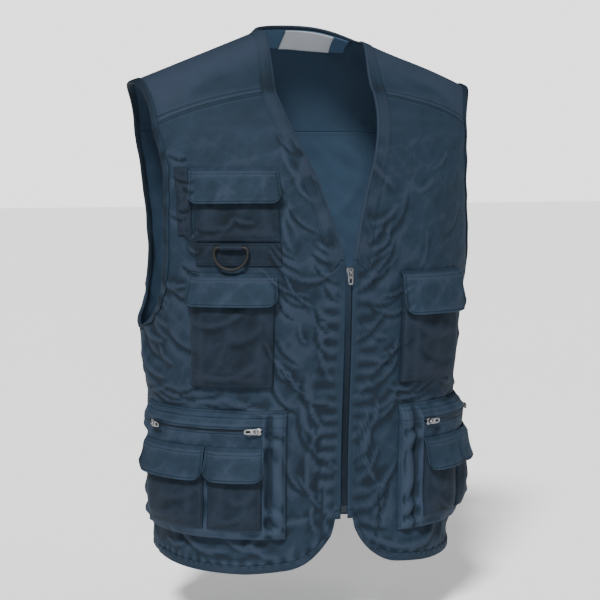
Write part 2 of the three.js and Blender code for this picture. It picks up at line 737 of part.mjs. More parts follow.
// Flap over a pocket's mouth, with rounded lower corners, springing away towards its lower edge
function addFlap(name, side, pocket, flap, ground, columns) {
  const seam = pocket.top - FLAP_LEAD
  const start = pocket.start - FLAP_OVERHANG
  const width = pocket.width + 2 * FLAP_OVERHANG
  const arcs = [start, start + FLAP_CORNER * 0.3, ...steps(start + FLAP_CORNER,
    start + width - FLAP_CORNER, columns), start + width - FLAP_CORNER * 0.3, start + width]
  const grid = [0, FLAP_LEAD / flap, 0.35, 0.7, 1].map((share) => leftward(side, arcs.map((arc) => {
    const edge = Math.min(arc - start, start + width - arc)
    const bend = 1 - Math.min(edge / FLAP_CORNER, 1)
    const length = flap - FLAP_CORNER * (1 - Math.sqrt(1 - bend * bend))
    const drop = seam + length * share
    const lastArc = pocket.start + pocket.width - PATCH_EDGE
    const under = THREE.MathUtils.clamp(arc, pocket.start + PATCH_EDGE, lastArc)
    const cleared = patchHeight(pocket, under, Math.max(drop, pocket.top)) + FLAP_CLOTH + FLAP_CLEAR
    const height = share === 0 ? FLAP_CLOTH + SEAT_GAP : cleared + FLAP_SPRING * share * share
    return clothPoint(side * arc, drop, ground(arc, drop) + height)
  })))
  addPiece(name, clothSheet([grid], FLAP_CLOTH), cloth)
}

const onCloth = () => 0
const chestPockets = [
  { side: -1, name: 'right', start: CHEST_START, depth: CHEST_DEPTH, flap: CHEST_FLAP },
  { side: 1, name: 'left', start: LEFT_CHEST_START, depth: LEFT_CHEST_DEPTH, flap: LEFT_CHEST_FLAP },
]
for (const { side, name, start, depth, flap } of chestPockets) {
  const pocket = {
    start, width: CHEST_WIDTH, top: CHEST_TOP + FLAP_LEAD, height: CHEST_HEIGHT - FLAP_LEAD, depth,
  }
  addPocket(`chest_pocket_${name}`, side, pocket, onCloth, 5, 5)
  addFlap(`chest_flap_${name}`, side, pocket, flap, onCloth, 4)
}

const upperPocket = {
  start: UPPER_START, width: UPPER_WIDTH, top: UPPER_TOP + FLAP_LEAD, height: UPPER_HEIGHT - FLAP_LEAD,
  depth: UPPER_DEPTH,
}
addPocket('upper_pocket', -1, upperPocket, onCloth, 5, 4)
addFlap('upper_flap', -1, upperPocket, UPPER_FLAP, onCloth, 4)

const penPocket = {
  start: UPPER_START + UPPER_WIDTH + PEN_SPACE, width: PEN_WIDTH, top: UPPER_TOP, height: PEN_HEIGHT,
  depth: PEN_DEPTH,
}
addPocket('pen_pocket', -1, penPocket, onCloth, 2, 4)

// Band below the upper pocket, the tab on it and the ring in the tab
const BAND_TOP = UPPER_TOP + UPPER_HEIGHT + BAND_SPACE
const ringBandLift = SEAT_GAP + RING_BAND_CLOTH
const ringBandArcs = steps(UPPER_START, UPPER_START + UPPER_WIDTH, 6)
const ringBandDrops = [BAND_TOP, BAND_TOP + RING_BAND_HEIGHT / 2, BAND_TOP + RING_BAND_HEIGHT]
addPiece('ring_band', clothSheet([ringBandDrops.map((drop) => leftward(-1, ringBandArcs.map(
  (arc) => clothPoint(-arc, drop, ringBandLift))))], RING_BAND_CLOTH), cloth)

// Placing of hard pieces: x runs to the wearer's right, y outwards from the cloth and z up
function place(mesh, arc, drop, lift, roll = 0) {
  const angle = angleAtArc(arc, drop)
  const out = outward(angle, drop)
  const right = clothPoint(arc - 1, drop, 0).sub(clothPoint(arc + 1, drop, 0)).normalize()
  right.addScaledVector(out, -right.dot(out)).normalize()
  const up = right.clone().cross(out)
  const basis = new THREE.Matrix4().makeBasis(right, out, up)
  mesh.quaternion.setFromRotationMatrix(basis)
  mesh.quaternion.multiply(new THREE.Quaternion().setFromAxisAngle(new THREE.Vector3(0, 1, 0), roll))
  mesh.position.copy(bodyPoint(angle, drop, lift))
  return mesh
}

// Closed tube of round section along a closed flat loop in the x-z plane
function loopTube(points, radius, sides) {
  const count = points.length
  const rings = points.map((p, i) => {
    const before = points[(i + count - 1) % count]
    const after = points[(i + 1) % count]
    const along = after.clone().sub(before).normalize()
    const across = new THREE.Vector3(0, 1, 0).cross(along)
    return Array.from({ length: sides }, (_, k) => {
      const turn = (2 * Math.PI * k) / sides
      return p.clone().addScaledVector(across, radius * Math.cos(turn))
        .add(new THREE.Vector3(0, radius * Math.sin(turn), 0))
    })
  })
  const index = []
  for (let i = 0; i < count; i += 1) {
    for (let k = 0; k < sides; k += 1) {
      const a = i * sides + k
      const b = i * sides + ((k + 1) % sides)
      const c = ((i + 1) % count) * sides + ((k + 1) % sides)
      const d = ((i + 1) % count) * sides + k
      index.push(a, b, d, d, b, c)
    }
  }
  return solidFrom(rings.flat(), index)
}

const ringHalf = (RING_WIDTH - RING_WIRE) / 2
const ringFall = RING_HEIGHT - RING_WIRE
const ringLoop = [
  ...steps(-ringHalf + RING_BEND, ringHalf - RING_BEND, 3).map((x) => new THREE.Vector3(x, 0, 0)),
  ...steps(0, Math.PI, 12).map((t) => new THREE.Vector3(
    ringHalf * Math.cos(t), 0, -RING_BEND - (ringFall - RING_BEND) * Math.sin(t))),
]
const ringDrop = BAND_TOP + TAB_LENGTH
const tabHole = RING_WIRE / 2 + TURN_GAP
const tabRound = tabHole + TAB_CLOTH
const ringLift = ringBandLift + TAB_SEAT + tabRound
const ringArc = -RING_ALONG - UPPER_START
const ring = addPiece('d_ring', loopTube(ringLoop, RING_WIRE / 2, 8), blackMetal)
place(ring, ringArc, ringDrop, ringLift)

// Side outline in the y-z plane pushed along x
function pushed(shape, width, curveSegments) {
  const geometry = new THREE.ExtrudeGeometry(shape, { depth: width, bevelEnabled: false, curveSegments })
  geometry.translate(0, 0, -width / 2)
  geometry.rotateZ(Math.PI / 2)
  geometry.rotateY(Math.PI / 2)
  return geometry
}

// Shape coordinates are height and distance inwards, so that pushing it turns them to z and -y
const tabShape = new THREE.Shape()
tabShape.absarc(0, 0, tabRound, Math.PI / 2, 2 * Math.PI + TAB_LEAVE, false)
tabShape.lineTo(TAB_LENGTH - TAB_SEAM_GAP, tabRound - 2 * TAB_CLOTH)
tabShape.lineTo(TAB_LENGTH - TAB_SEAM_GAP, tabRound)
tabShape.closePath()
const tabBore = new THREE.Path()
tabBore.absarc(0, 0, tabHole, 0, 2 * Math.PI, true)
tabShape.holes.push(tabBore)
place(addPiece('ring_tab', pushed(tabShape, TAB_WIDTH, 10), cloth), ringArc, ringDrop, ringLift)

// Lower bellows pockets. The pleat at each side stands up, dips and rises to the pocket's face.
const LOWER_TOP = BODY_LENGTH - LOWER_TOP_RISE
const LOWER_BOTTOM = LOWER_TOP + LOWER_HEIGHT
const LOWER_ZIP = LOWER_TOP + LOWER_ZIP_FALL
const ZIP_SLOPE = [[0, 0], [0.4, 0.62], [0.68, 0.93], [1, 1], [2, 1]]
const PLEAT = [[0, 0], [0.1, 0.55], [0.3, 0.9], [0.52, 0.8], [0.74, 0.34], [0.86, 0.6], [1, 1]]

function lowerLift(arc, drop) {
  const edge = Math.min(arc - LOWER_START, LOWER_START + LOWER_WIDTH - arc)
  const face = 0.1 * Math.sin((Math.PI / 2) * THREE.MathUtils.clamp(
    (edge - LOWER_PLEAT) / (LOWER_WIDTH / 2 - LOWER_PLEAT), 0, 1))
  const across = tentShare(PLEAT, Math.max(edge, 0) / LOWER_PLEAT) + face
  const slope = tentShare(ZIP_SLOPE, (drop - LOWER_TOP) / LOWER_ZIP_FALL)
  const foot = tentShare([[0, 0], [0.2, 0.7], [1, 1]], (LOWER_BOTTOM - drop) / LOWER_FOOT)
  return RIM_LIFT + (LOWER_DEPTH - RIM_LIFT) * across * slope * foot
}

// Half of the slot that the zip fills, closed over the pleats
function slotHalf(arc) {
  const edge = Math.min(arc - LOWER_START, LOWER_START + LOWER_WIDTH - arc) - LOWER_PLEAT
  return Math.max(FIT_GAP, (POCKET_ZIP_WIDTH / 2) * THREE.MathUtils.clamp(edge / SLOT_TAPER, 0, 1))
}

const faceStart = LOWER_START + LOWER_PLEAT
const faceEnd = LOWER_START + LOWER_WIDTH - LOWER_PLEAT
const pleatShares = PLEAT.map((point) => point[0])
const lowerArcs = [
  ...pleatShares.map((share) => LOWER_START + share * LOWER_PLEAT),
  ...steps(faceStart + SLOT_TAPER, faceEnd - SLOT_TAPER, 6),
  ...pleatShares.map((share) => LOWER_START + LOWER_WIDTH - share * LOWER_PLEAT).reverse(),
]
const lowerRows = [0, 0.12, 0.3, 0.5, 0.7, 1 - LOWER_FOOT / LOWER_HEIGHT, 1 - LOWER_FOOT / LOWER_HEIGHT / 5, 1]
const teethArcs = steps(faceStart + SLOT_TAPER, faceEnd - SLOT_TAPER, 6)
const tapeArcs = [faceStart + TAPE_INSET, ...teethArcs, faceEnd - TAPE_INSET]

function lowerGrid(side, rows, arcs, dropOf, sink = 0) {
  return rows.map((share) => leftward(side, arcs.map((arc) => {
    const drop = dropOf(share, arc)
    return clothPoint(side * arc, drop, lowerLift(arc, drop) - sink)
  })))
}

const smallRoom = faceEnd - faceStart - 2 * SMALL_EDGE - SMALL_SPACE
const sideStart = faceStart + SMALL_EDGE + SMALL_FRONT_WIDTH + SMALL_SPACE
const smallPockets = [
  { end: 'front', start: faceStart + SMALL_EDGE, width: SMALL_FRONT_WIDTH },
  { end: 'side', start: sideStart, width: smallRoom - SMALL_FRONT_WIDTH },
]
const smallTop = LOWER_TOP + SMALL_TOP_FALL

for (const [side, name] of [[-1, 'right'], [1, 'left']]) {
  const body = lowerGrid(side, lowerRows, lowerArcs, (share, arc) => {
    const mouth = LOWER_ZIP + slotHalf(arc)
    return mouth + share * (LOWER_BOTTOM - mouth)
  })
  addPiece(`lower_pocket_${name}`, clothSheet([body], POCKET_CLOTH), cloth)
  const top = lowerGrid(side, [0, 0.51, 0.865, 1], lowerArcs, (share, arc) => (
    LOWER_TOP + share * (LOWER_ZIP - slotHalf(arc) - LOWER_TOP)))
  addPiece(`lower_top_${name}`, clothSheet([top], POCKET_CLOTH), cloth)

  const sink = POCKET_CLOTH + TAPE_SEAT
  const tapeHalf = POCKET_ZIP_WIDTH / 2 + TAPE_LAP
  const tapeRows = lowerGrid(side, [-1, 0, 1], tapeArcs, (share) => LOWER_ZIP + share * tapeHalf, sink)
  addPiece(`lower_zip_tape_${name}`, clothSheet([tapeRows], TAPE_THICK), tape)
  const teethSink = sink - POCKET_TEETH_THICK - BAND_SEAT
  const teeth = lowerGrid(
    side, [-1, 1], teethArcs, (share) => LOWER_ZIP + (share * POCKET_TEETH) / 2, teethSink)
  addPiece(`lower_zip_teeth_${name}`, clothSheet([teeth], POCKET_TEETH_THICK), plastic)

  for (const { end, start, width } of smallPockets) {
    const pocket = {
      start, width, top: smallTop + FLAP_LEAD, height: SMALL_HEIGHT - FLAP_LEAD, depth: SMALL_DEPTH,
    }
    addPocket(`small_pocket_${name}_${end}`, side, pocket, lowerLift, 4, 4)
    addFlap(`small_flap_${name}_${end}`, side, pocket, SMALL_FLAP, lowerLift, 3)
  }
}

// Main zip
function frontStrip(from, to, rows, lift) {
  return rows.map((drop) => steps(from, to, 1).map((arc) => clothPoint(arc, drop, lift)))
}

const zipEnd = BODY_LENGTH - ZIP_END_RISE
const zipRows = steps(V_DROP, zipEnd - ZIP_STOP_LENGTH, 12)
const tapeSink = -(CLOTH + BAND_SEAT)
const teethHalf = TEETH_WIDTH / 2
const teethStrip = frontStrip(-teethHalf, teethHalf, zipRows, TEETH_LIFT)
addPiece('zip_teeth', clothSheet([teethStrip], TEETH_THICK), plastic)
addPiece('zip_tape_right', clothSheet(
  [frontStrip(-TAPE_WIDTH, -teethHalf - FIT_GAP, zipRows, tapeSink)], TAPE_THICK), tape)
addPiece('zip_tape_left', clothSheet(
  [frontStrip(teethHalf + FIT_GAP, TAPE_WIDTH, zipRows, tapeSink)], TAPE_THICK), tape)
const stop = new THREE.BoxGeometry(TEETH_WIDTH + 2, TEETH_THICK + 1, ZIP_STOP_LENGTH - 2 * FIT_GAP)
place(addPiece('zip_stop', stop, metal), 0, zipEnd - ZIP_STOP_LENGTH / 2, TEETH_LIFT - TEETH_THICK / 2)

// Joins closed solids into one
function solidOf(geometry) {
  const bare = geometry.clone()
  bare.deleteAttribute('normal')
  bare.deleteAttribute('uv')
  const merged = mergeVertices(bare, 1e-4)
  const vertProperties = new Float32Array(merged.attributes.position.array)
  const triVerts = new Uint32Array(merged.index.array)
  return new wasm.Manifold(new wasm.Mesh({ numProp: 3, vertProperties, triVerts }))
}

function joined(a, b) {
  const mesh = solidOf(a).add(solidOf(b)).getMesh()
  const geometry = new THREE.BufferGeometry()
  geometry.setAttribute('position', new THREE.BufferAttribute(new Float32Array(mesh.vertProperties), 3))
  geometry.setIndex([...mesh.triVerts])
  geometry.computeVertexNormals()
  return geometry
}

// Flat outline in the x-z plane given thickness along y
function plated(shape, from, thick) {
  const geometry = new THREE.ExtrudeGeometry(shape, { depth: thick, bevelEnabled: false, curveSegments: 4 })
  geometry.rotateX(Math.PI / 2)
  geometry.translate(0, from + thick, 0)
  return geometry
}

// Slider plate with the eye that holds the pull
const eyeOut = SLIDER_PLATE + EYE_RADIUS
const eyeShape = new THREE.Shape()
eyeShape.absarc(0, 0, EYE_RADIUS + EYE_WALL, 0, 2 * Math.PI, false)
const eyeHole = new THREE.Path()
eyeHole.absarc(0, 0, EYE_RADIUS, 0, 2 * Math.PI, true)
eyeShape.holes.push(eyeHole)
const plateShape = new THREE.Shape([
  new THREE.Vector2(-SLIDER_WIDTH / 2, SLIDER_LENGTH / 2 - 1.5),
  new THREE.Vector2(-SLIDER_WIDTH * 0.34, -SLIDER_LENGTH / 2),
  new THREE.Vector2(SLIDER_WIDTH * 0.34, -SLIDER_LENGTH / 2),
  new THREE.Vector2(SLIDER_WIDTH / 2, SLIDER_LENGTH / 2 - 1.5),
  new THREE.Vector2(SLIDER_WIDTH * 0.3, SLIDER_LENGTH / 2),
  new THREE.Vector2(-SLIDER_WIDTH * 0.3, SLIDER_LENGTH / 2),
])

function sliderGeometry() {
  const eye = pushed(eyeShape, BRIDGE_WIDTH, 6)
  eye.translate(0, eyeOut, -EYE_DROP)
  return joined(plated(plateShape, 0, SLIDER_PLATE), eye)
}

// Pull whose upper bar turns in the eye
function pullGeometry() {
  const bar = PULL_THICK / 2
  const half = PULL_WIDTH / 2
  const shape = new THREE.Shape([
    new THREE.Vector2(-half, bar),
    new THREE.Vector2(-half, -PULL_LENGTH * 0.7),
    new THREE.Vector2(-half * 0.7, -PULL_LENGTH),
    new THREE.Vector2(half * 0.7, -PULL_LENGTH),
    new THREE.Vector2(half, -PULL_LENGTH * 0.7),
    new THREE.Vector2(half, bar),
  ])
  const slotHalfWidth = BRIDGE_WIDTH / 2 + TURN_GAP
  const slotEnd = -(EYE_RADIUS + EYE_WALL + 2 * TURN_GAP)
  shape.holes.push(new THREE.Path([
    new THREE.Vector2(-slotHalfWidth, -bar),
    new THREE.Vector2(slotHalfWidth, -bar),
    new THREE.Vector2(slotHalfWidth, slotEnd),
    new THREE.Vector2(-slotHalfWidth, slotEnd),
  ]))
  return plated(shape, -bar, PULL_THICK)
}

function addZipHead(name, arc, drop, lift, roll) {
  const head = place(new THREE.Group(), arc, drop, lift, roll)
  const slider = addPiece(`${name}_slider`, sliderGeometry(), metal)
  const pull = addPiece(`${name}_pull`, pullGeometry(), metal)
  pull.position.set(0, eyeOut, -EYE_DROP)
  head.add(slider, pull)
  vest.add(head)
}

addZipHead('zip', 0, V_DROP + SLIDER_LENGTH / 2, TEETH_LIFT + BAND_SEAT, 0)
const pocketHeadLift = FIT_GAP + POCKET_HEAD_RISE
const pocketHeads = [
  { end: 'front', arc: faceStart + FRONT_HEAD_INSET, turn: 1 },
  { end: 'side', arc: faceEnd - SIDE_HEAD_INSET, turn: -1 },
]
for (const [side, name] of [[-1, 'right'], [1, 'left']]) {
  for (const { end, arc, turn } of pocketHeads) {
    const lift = lowerLift(arc, LOWER_ZIP) + pocketHeadLift
    addZipHead(`lower_${name}_${end}`, side * arc, LOWER_ZIP, lift, side * turn * Math.PI / 2)
  }
}

export default vest
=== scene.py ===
import math

import bpy
import numpy as np
from bpy.props import FloatProperty, FloatVectorProperty, PointerProperty
from mathutils import Matrix, Vector
from mathutils.kdtree import KDTree


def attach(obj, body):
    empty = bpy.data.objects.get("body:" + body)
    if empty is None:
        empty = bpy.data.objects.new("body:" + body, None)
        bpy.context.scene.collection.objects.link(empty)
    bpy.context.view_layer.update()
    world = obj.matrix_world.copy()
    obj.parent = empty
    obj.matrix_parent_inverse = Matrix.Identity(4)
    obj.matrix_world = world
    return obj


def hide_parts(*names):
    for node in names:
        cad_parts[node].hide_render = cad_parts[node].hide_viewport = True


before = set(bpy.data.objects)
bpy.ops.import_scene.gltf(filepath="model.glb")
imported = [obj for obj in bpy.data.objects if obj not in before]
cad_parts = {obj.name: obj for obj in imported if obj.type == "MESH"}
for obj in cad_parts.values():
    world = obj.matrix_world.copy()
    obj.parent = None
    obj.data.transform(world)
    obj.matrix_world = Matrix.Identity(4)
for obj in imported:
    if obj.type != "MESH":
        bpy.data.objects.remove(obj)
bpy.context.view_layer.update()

bl_info = {
    "name": "Work vest",
    "version": (1, 0, 0),
    "blender": (4, 5, 0),
    "location": "View3D > Sidebar > Vest",
    "description": "Sewn multi-pocket work vest built over its solid pattern",
    "category": "Object",
}

MM = 0.001
RADIANS = math.pi / 180

# Pattern sizes in millimetres, the same as the solid's
BODY_LENGTH, HALF_CHEST, FRONT_DEPTH, BACK_DEPTH = 656, 210, 146, 140
CLOTH, FIT_GAP, SEAT_GAP, SEAM_GAP = 1.5, 0.3, 1.0, 0.8
NECK_HALF, NECK_FORWARD, BACK_NECK_RISE, BACK_NECK_REACH = 67, 22, 12, 66
BACK_NECK_SLOPE, LEFT_NECK_FALL = 0.75, 11
TIP_HALF, TIP_DROP, V_DROP, UNDERARM_DROP = 224, 64, 285, 368
YOKE_FRONT_IN, YOKE_FRONT_OUT, YOKE_BACK = 76, 118, 122
ZIP_END_DROP, FRONT_EDGE_GAP, CORNER_RUN, CORNER_RISE = 585, 5, 50, 52
HEM_SLOPE_RUN, HEM_SLOPE_RISE, SIDE_HEM_RISE = 110, 12, 6
FOLD_HEIGHT, FOLD_REACH = 6, 60
ARMHOLE_BAND, NECK_BAND, HEM_BAND, BAND_CLOTH, BAND_SEAT, BAND_END_GAP = 9, 13, 9, 1.1, 0.7, 8
NECK_FACING, FACING_EDGE, NECK_SIDE_ANGLE = 34, 0.02, 149
LABEL_WIDTH, LABEL_HEIGHT, LABEL_THICK, LABEL_SHIFT = 60, 31, 0.8, 23
LOWER_START, LOWER_WIDTH, LOWER_TOP, LOWER_HEIGHT, LOWER_DEPTH = 73, 222, 457, 157, 14
LOWER_PLEAT, LOWER_ZIP_FALL, POCKET_ZIP_WIDTH, LOWER_FOOT, SLOT_TAPER = 28, 21, 9, 14, 5
SMALL_TOP_FALL, SMALL_FRONT_WIDTH, SMALL_HEIGHT, SMALL_DEPTH, SMALL_SPACE, SMALL_EDGE = 42, 61, 99, 6, 5, 1.5
SMALL_FLAP, FLAP_CORNER, FLAP_CLOTH, FLAP_SPRING, FLAP_LEAD = 39, 11, 1.6, 6, 6
FLAP_OVERHANG, FLAP_CLEAR, POCKET_CLOTH = 1.2, 1.4, 1.2
CHEST_START, CHEST_WIDTH, CHEST_TOP, CHEST_HEIGHT, CHEST_DEPTH, CHEST_FLAP = 91, 103, 292, 137, 8, 37
LEFT_CHEST_START, LEFT_CHEST_DEPTH, LEFT_CHEST_FLAP = 71, 11, 51
UPPER_START, UPPER_WIDTH, UPPER_TOP, UPPER_HEIGHT, UPPER_DEPTH, UPPER_FLAP = 83, 103, 168, 87, 5, 42
PEN_WIDTH, PEN_SPACE, PEN_HEIGHT, PEN_DEPTH = 20, 3, 80, 4
RING_BAND_HEIGHT, RING_BAND_CLOTH, BAND_SPACE = 26, 1.4, 1.5
RING_WIDTH, RING_HEIGHT, RING_BEND, RING_WIRE, RING_ALONG = 44, 30, 4, 4, 58
TAB_WIDTH, TAB_CLOTH, TAB_LENGTH, TAB_SEAM_GAP, TAB_SEAT, TURN_GAP = 26, 1.2, 5, 0.5, 0.6, 0.35
TEETH_WIDTH, TEETH_THICK, TEETH_LIFT, TAPE_WIDTH, TAPE_THICK = 5, 2.2, 0.4, 14, 0.8
SLIDER_WIDTH, SLIDER_LENGTH, SLIDER_PLATE, EYE_RADIUS, EYE_WALL, EYE_DROP = 9, 11, 1.6, 1.5, 1.1, 1
BRIDGE_WIDTH, PULL_WIDTH, PULL_LENGTH, PULL_THICK, ZIP_STOP_LENGTH = 3, 7, 15, 1.4, 9
TAPE_LAP, TAPE_SEAT, TAPE_INSET, POCKET_TEETH_THICK = 3, 1.1, 2, 1.6
FRONT_HEAD_INSET, SIDE_HEAD_INSET, POCKET_HEAD_RISE = 7, 24, 0.3
MM_PER_DEGREE = HALF_CHEST * RADIANS
LOWER_END, LOWER_BOTTOM = LOWER_START + LOWER_WIDTH, LOWER_TOP + LOWER_HEIGHT
LOWER_ZIP, FACE_START, FACE_END = LOWER_TOP + LOWER_ZIP_FALL, LOWER_START + LOWER_PLEAT, LOWER_END - LOWER_PLEAT
BAND_TOP = UPPER_TOP + UPPER_HEIGHT + BAND_SPACE
RIM_LIFT = SEAT_GAP + POCKET_CLOTH * 0.65
POCKET_BELLY, FLAP_WAVE, LIP_GAP = 2.5, 0.5, 1.7
YOKE_SPAN, YOKE_RUN, YOKE_CREASE_AT, YOKE_FLAT = 165, 120, 62, (470, 300)
# Zip teeth: where the main row starts below the V, and the step from tooth to tooth
TEETH_START, TEETH_PITCH, COIL_PITCH = 14, 1.3, 1.1
# Distances of the stitch rows from the edges they follow
SEAM_ROW, EDGE_ROW, FLAP_ROW, FLAP_TOP_ROW, HEM_FOLD_ROW, HEM_ROW = 1.4, 1.8, 2.0, 7.5, 1.2, 9.5
YOKE_ROW, LOWER_TOP_ROW, LIP_ROW = 1.5, 7.0, 2.6

# Horizontal sections: drop in shares of BODY_LENGTH, then half, front, back, side and squareness
DROP, HALF, FRONT, BACK, SIDE, SQUARE = range(6)
SECTIONS = (
    (0.000, 1.000, 0.10, 0.40, 0.02, 2.2), (0.053, 1.030, 0.26, 0.60, 0.06, 2.2),
    (0.105, 1.050, 0.50, 0.78, 0.10, 2.3), (0.168, 1.070, 0.73, 0.90, 0.14, 2.4),
    (0.252, 1.060, 0.93, 0.97, 0.17, 2.4), (0.337, 1.050, 1.01, 1.00, 0.18, 2.4),
    (0.442, 1.030, 1.07, 1.00, 0.16, 2.4), (0.579, 0.980, 1.05, 0.98, 0.14, 2.4),
    (0.736, 0.940, 1.00, 0.98, 0.12, 2.4), (0.894, 0.920, 0.98, 0.98, 0.10, 2.4),
    (1.000, 0.905, 0.98, 0.98, 0.085, 2.4),
)
# Angle of each armhole edge, by share of UNDERARM_DROP
FRONT_ARMHOLE = ((0.25, 69.0), (0.32, 66.0), (0.46, 63.0), (0.66, 64.5), (0.82, 68.0), (0.89, 72.5),
                 (0.96, 81.5), (1.0, 92))
BACK_ARMHOLE = ((0.25, 118.0), (0.33, 121.0), (0.45, 125.0), (0.64, 129.3), (0.82, 127.5), (0.91, 121.5),
                (0.96, 111.0), (1.0, 92))
# Half width of the neck opening in shares of NECK_HALF, by share of V_DROP
V_OPENING = ((0.20, 1.00), (0.29, 0.96), (0.37, 0.90), (0.48, 0.77), (0.62, 0.54), (0.76, 0.345),
             (0.88, 0.20), (1.00, 0.075))
# Soft folds: angle, drop share, lean, length, width and rise
FOLDS = (
    (-14, 0.54, 8, 1.5, 0.30, 0.6), (-11, 0.43, -68, 0.9, 0.30, 0.6), (12, 0.40, 62, 0.8, 0.30, 0.5),
    (10, 0.88, 10, 1.2, 0.40, -0.7), (30, 0.97, 80, 1.3, 0.40, 0.8), (-86, 0.62, 25, 0.9, 0.45, 0.8),
    (86, 0.62, -25, 0.9, 0.45, 0.8), (-145, 0.70, -12, 2.6, 0.75, 1.0), (145, 0.66, 14, 2.8, 0.75, 0.9),
    (176, 0.80, 4, 2.4, 0.90, -0.9),
)
# Creases of the body cloth from one place to another: arc and drop of both ends, width, rise
CREASES = (
    (-38, 258, -12, 268, 6, 1.1), (-46, 270, -14, 282, 7, -0.9), (-60, 300, -16, 288, 7, 1.2),
    (-30, 345, -22, 420, 8, 0.9), (26, 236, 70, 214, 8, 1.0), (34, 250, 78, 232, 8, -0.8),
    (20, 356, 52, 372, 7, 1.0), (18, 392, 60, 398, 8, 0.8), (24, 330, 66, 346, 7, -0.7),
    (-300, 352, -262, 380, 9, 1.4), (-296, 372, -250, 402, 9, -1.0), (-292, 398, -240, 424, 10, 1.0),
    (-150, 445, -70, 452, 9, 1.2), (-200, 440, -150, 446, 9, 0.9), (-60, 440, -22, 452, 8, -0.9),
    (24, 480, 52, 560, 10, 1.2), (36, 470, 66, 452, 9, 1.1), (14, 590, 60, 612, 9, -1.2),
    (26, 610, 120, 634, 9, 1.2), (-26, 470, -46, 560, 10, 1.1), (-18, 500, -30, 590, 8, -0.9),
    (-40, 590, -130, 632, 10, 0.9), (300, 352, 262, 380, 9, 1.3), (296, 384, 244, 410, 9, 0.9),
    (-20, 130, -60, 200, 10, 0.7), (28, 130, 66, 190, 10, 0.8), (330, 400, 420, 470, 16, 2.0),
    (-330, 400, -420, 470, 16, 2.0), (500, 250, 620, 330, 18, 1.6), (-500, 250, -620, 330, 18, 1.6),
    (360, 560, 470, 600, 16, 1.8), (-350, 570, -480, 596, 16, 1.6), (560, 520, 640, 640, 20, 2.0),
)
# Fields of short creases: first and last arc, first and last drop, count, lean from level in degrees,
# spread of the lean, shortest and longest, width and rise
CREASE_FIELDS = (
    (-88, -20, 262, 330, 9, 38, 16, 26, 60, 4, 1.3), (-86, -22, 330, 450, 12, 62, 18, 22, 52, 4, 1.3),
    (-80, -60, 90, 260, 6, 70, 20, 30, 60, 6, 0.9), (18, 70, 240, 300, 8, -38, 14, 26, 54, 4, 1.3),
    (16, 66, 300, 450, 14, -30, 24, 24, 56, 4, 1.3), (14, 64, 450, 600, 12, -64, 26, 24, 60, 5, 1.2),
    (-66, -14, 450, 610, 12, 66, 24, 24, 56, 5, 1.2), (-215, -186, 150, 330, 10, 6, 18, 14, 30, 5, 1.5),
    (-300, -200, 300, 430, 12, 32, 16, 30, 70, 7, 1.5), (176, 300, 300, 430, 12, -32, 16, 30, 70, 7, 1.5),
    (70, 170, 120, 280, 6, -50, 24, 34, 70, 7, 0.6), (-60, -20, 110, 240, 5, 60, 20, 34, 60, 6, 0.6),
    (-300, -70, 430, 456, 9, 4, 8, 40, 80, 5, 1.2), (70, 300, 430, 456, 9, -4, 8, 40, 80, 5, 1.2),
    (-300, -40, 616, 646, 10, 12, 20, 30, 70, 7, 1.1), (40, 300, 616, 646, 10, -12, 20, 30, 70, 7, 1.1),
    (320, 560, 170, 420, 9, 72, 18, 90, 190, 14, 1.3), (-560, -320, 170, 420, 9, -72, 18, 90, 190, 14, 1.3),
    (320, 560, 420, 630, 9, 16, 22, 70, 150, 12, 1.3), (-560, -320, 420, 630, 9, -16, 22, 70, 150, 12, 1.3),
)


def scattered(fields, seed):
    """Rows of short creases, drawn by chance inside each field."""
    dice = np.random.default_rng(seed)
    rows = []
    for a0, a1, d0, d1, count, lean, spread_by, short, long, width, rise in fields:
        for i in range(count):
            arc, drop = dice.uniform(a0, a1), d0 + (d1 - d0) * (i + dice.uniform(0.2, 0.8)) / count
            turn = (lean + dice.uniform(-1, 1) * spread_by) * RADIANS
            half = dice.uniform(short, long) / 2
            up = rise * dice.uniform(0.5, 1.0) * (1 if dice.uniform() < 0.6 else -1)
            across, down = half * math.cos(turn), half * math.sin(turn)
            rows.append((arc - across, drop - down, arc + across, drop + down,
                         width * dice.uniform(0.75, 1.5), up))
    return rows


SIDES = ((-1, "right"), (1, "left"))
# Height across a bellows pleat, by share of its width,
# and down from the pocket's top, by share of its zip's fall
PLEAT = ((0, 0), (0.1, 0.55), (0.3, 0.9), (0.52, 0.8), (0.74, 0.34), (0.86, 0.6), (1, 1))
ZIP_SLOPE = ((0, 0), (0.4, 0.62), (0.68, 0.93), (1, 1), (2, 1))


# Body surface, in millimetres
def smooth_table(rows, share, column=1):
    """Value of a table's column at a share, on a smooth curve through its rows."""
    table = np.array(rows, float)
    drops, values = table[:, DROP], table[:, column]
    at = np.clip(share, drops[0], drops[-1])
    i = np.clip(np.searchsorted(drops, at, side="right") - 1, 0, len(drops) - 2)
    before = np.maximum(np.arange(len(drops)) - 1, 0)
    after = np.minimum(np.arange(len(drops)) + 1, len(drops) - 1)
    slopes = (values[after] - values[before]) / (drops[after] - drops[before])
    span = drops[i + 1] - drops[i]
    s = (at - drops[i]) / span
    return ((2 * s**3 - 3 * s**2 + 1) * values[i] + (s**3 - 2 * s**2 + s) * span * slopes[i]
            + (3 * s**2 - 2 * s**3) * values[i + 1] + (s**3 - s**2) * span * slopes[i + 1])


def tent(rows, at):
    """Value at a place on straight lines between rows."""
    table = np.array(rows, float)
    return np.interp(at, table[:, 0], table[:, 1])


def soft(low, high, at):
    """Smooth step from 0 at low to 1 at high."""
    t = np.clip((at - low) / (high - low), 0, 1)
    return t * t * (3 - 2 * t)


def unit(v):
    return v / np.maximum(np.linalg.norm(v, axis=-1, keepdims=True), 1e-12)


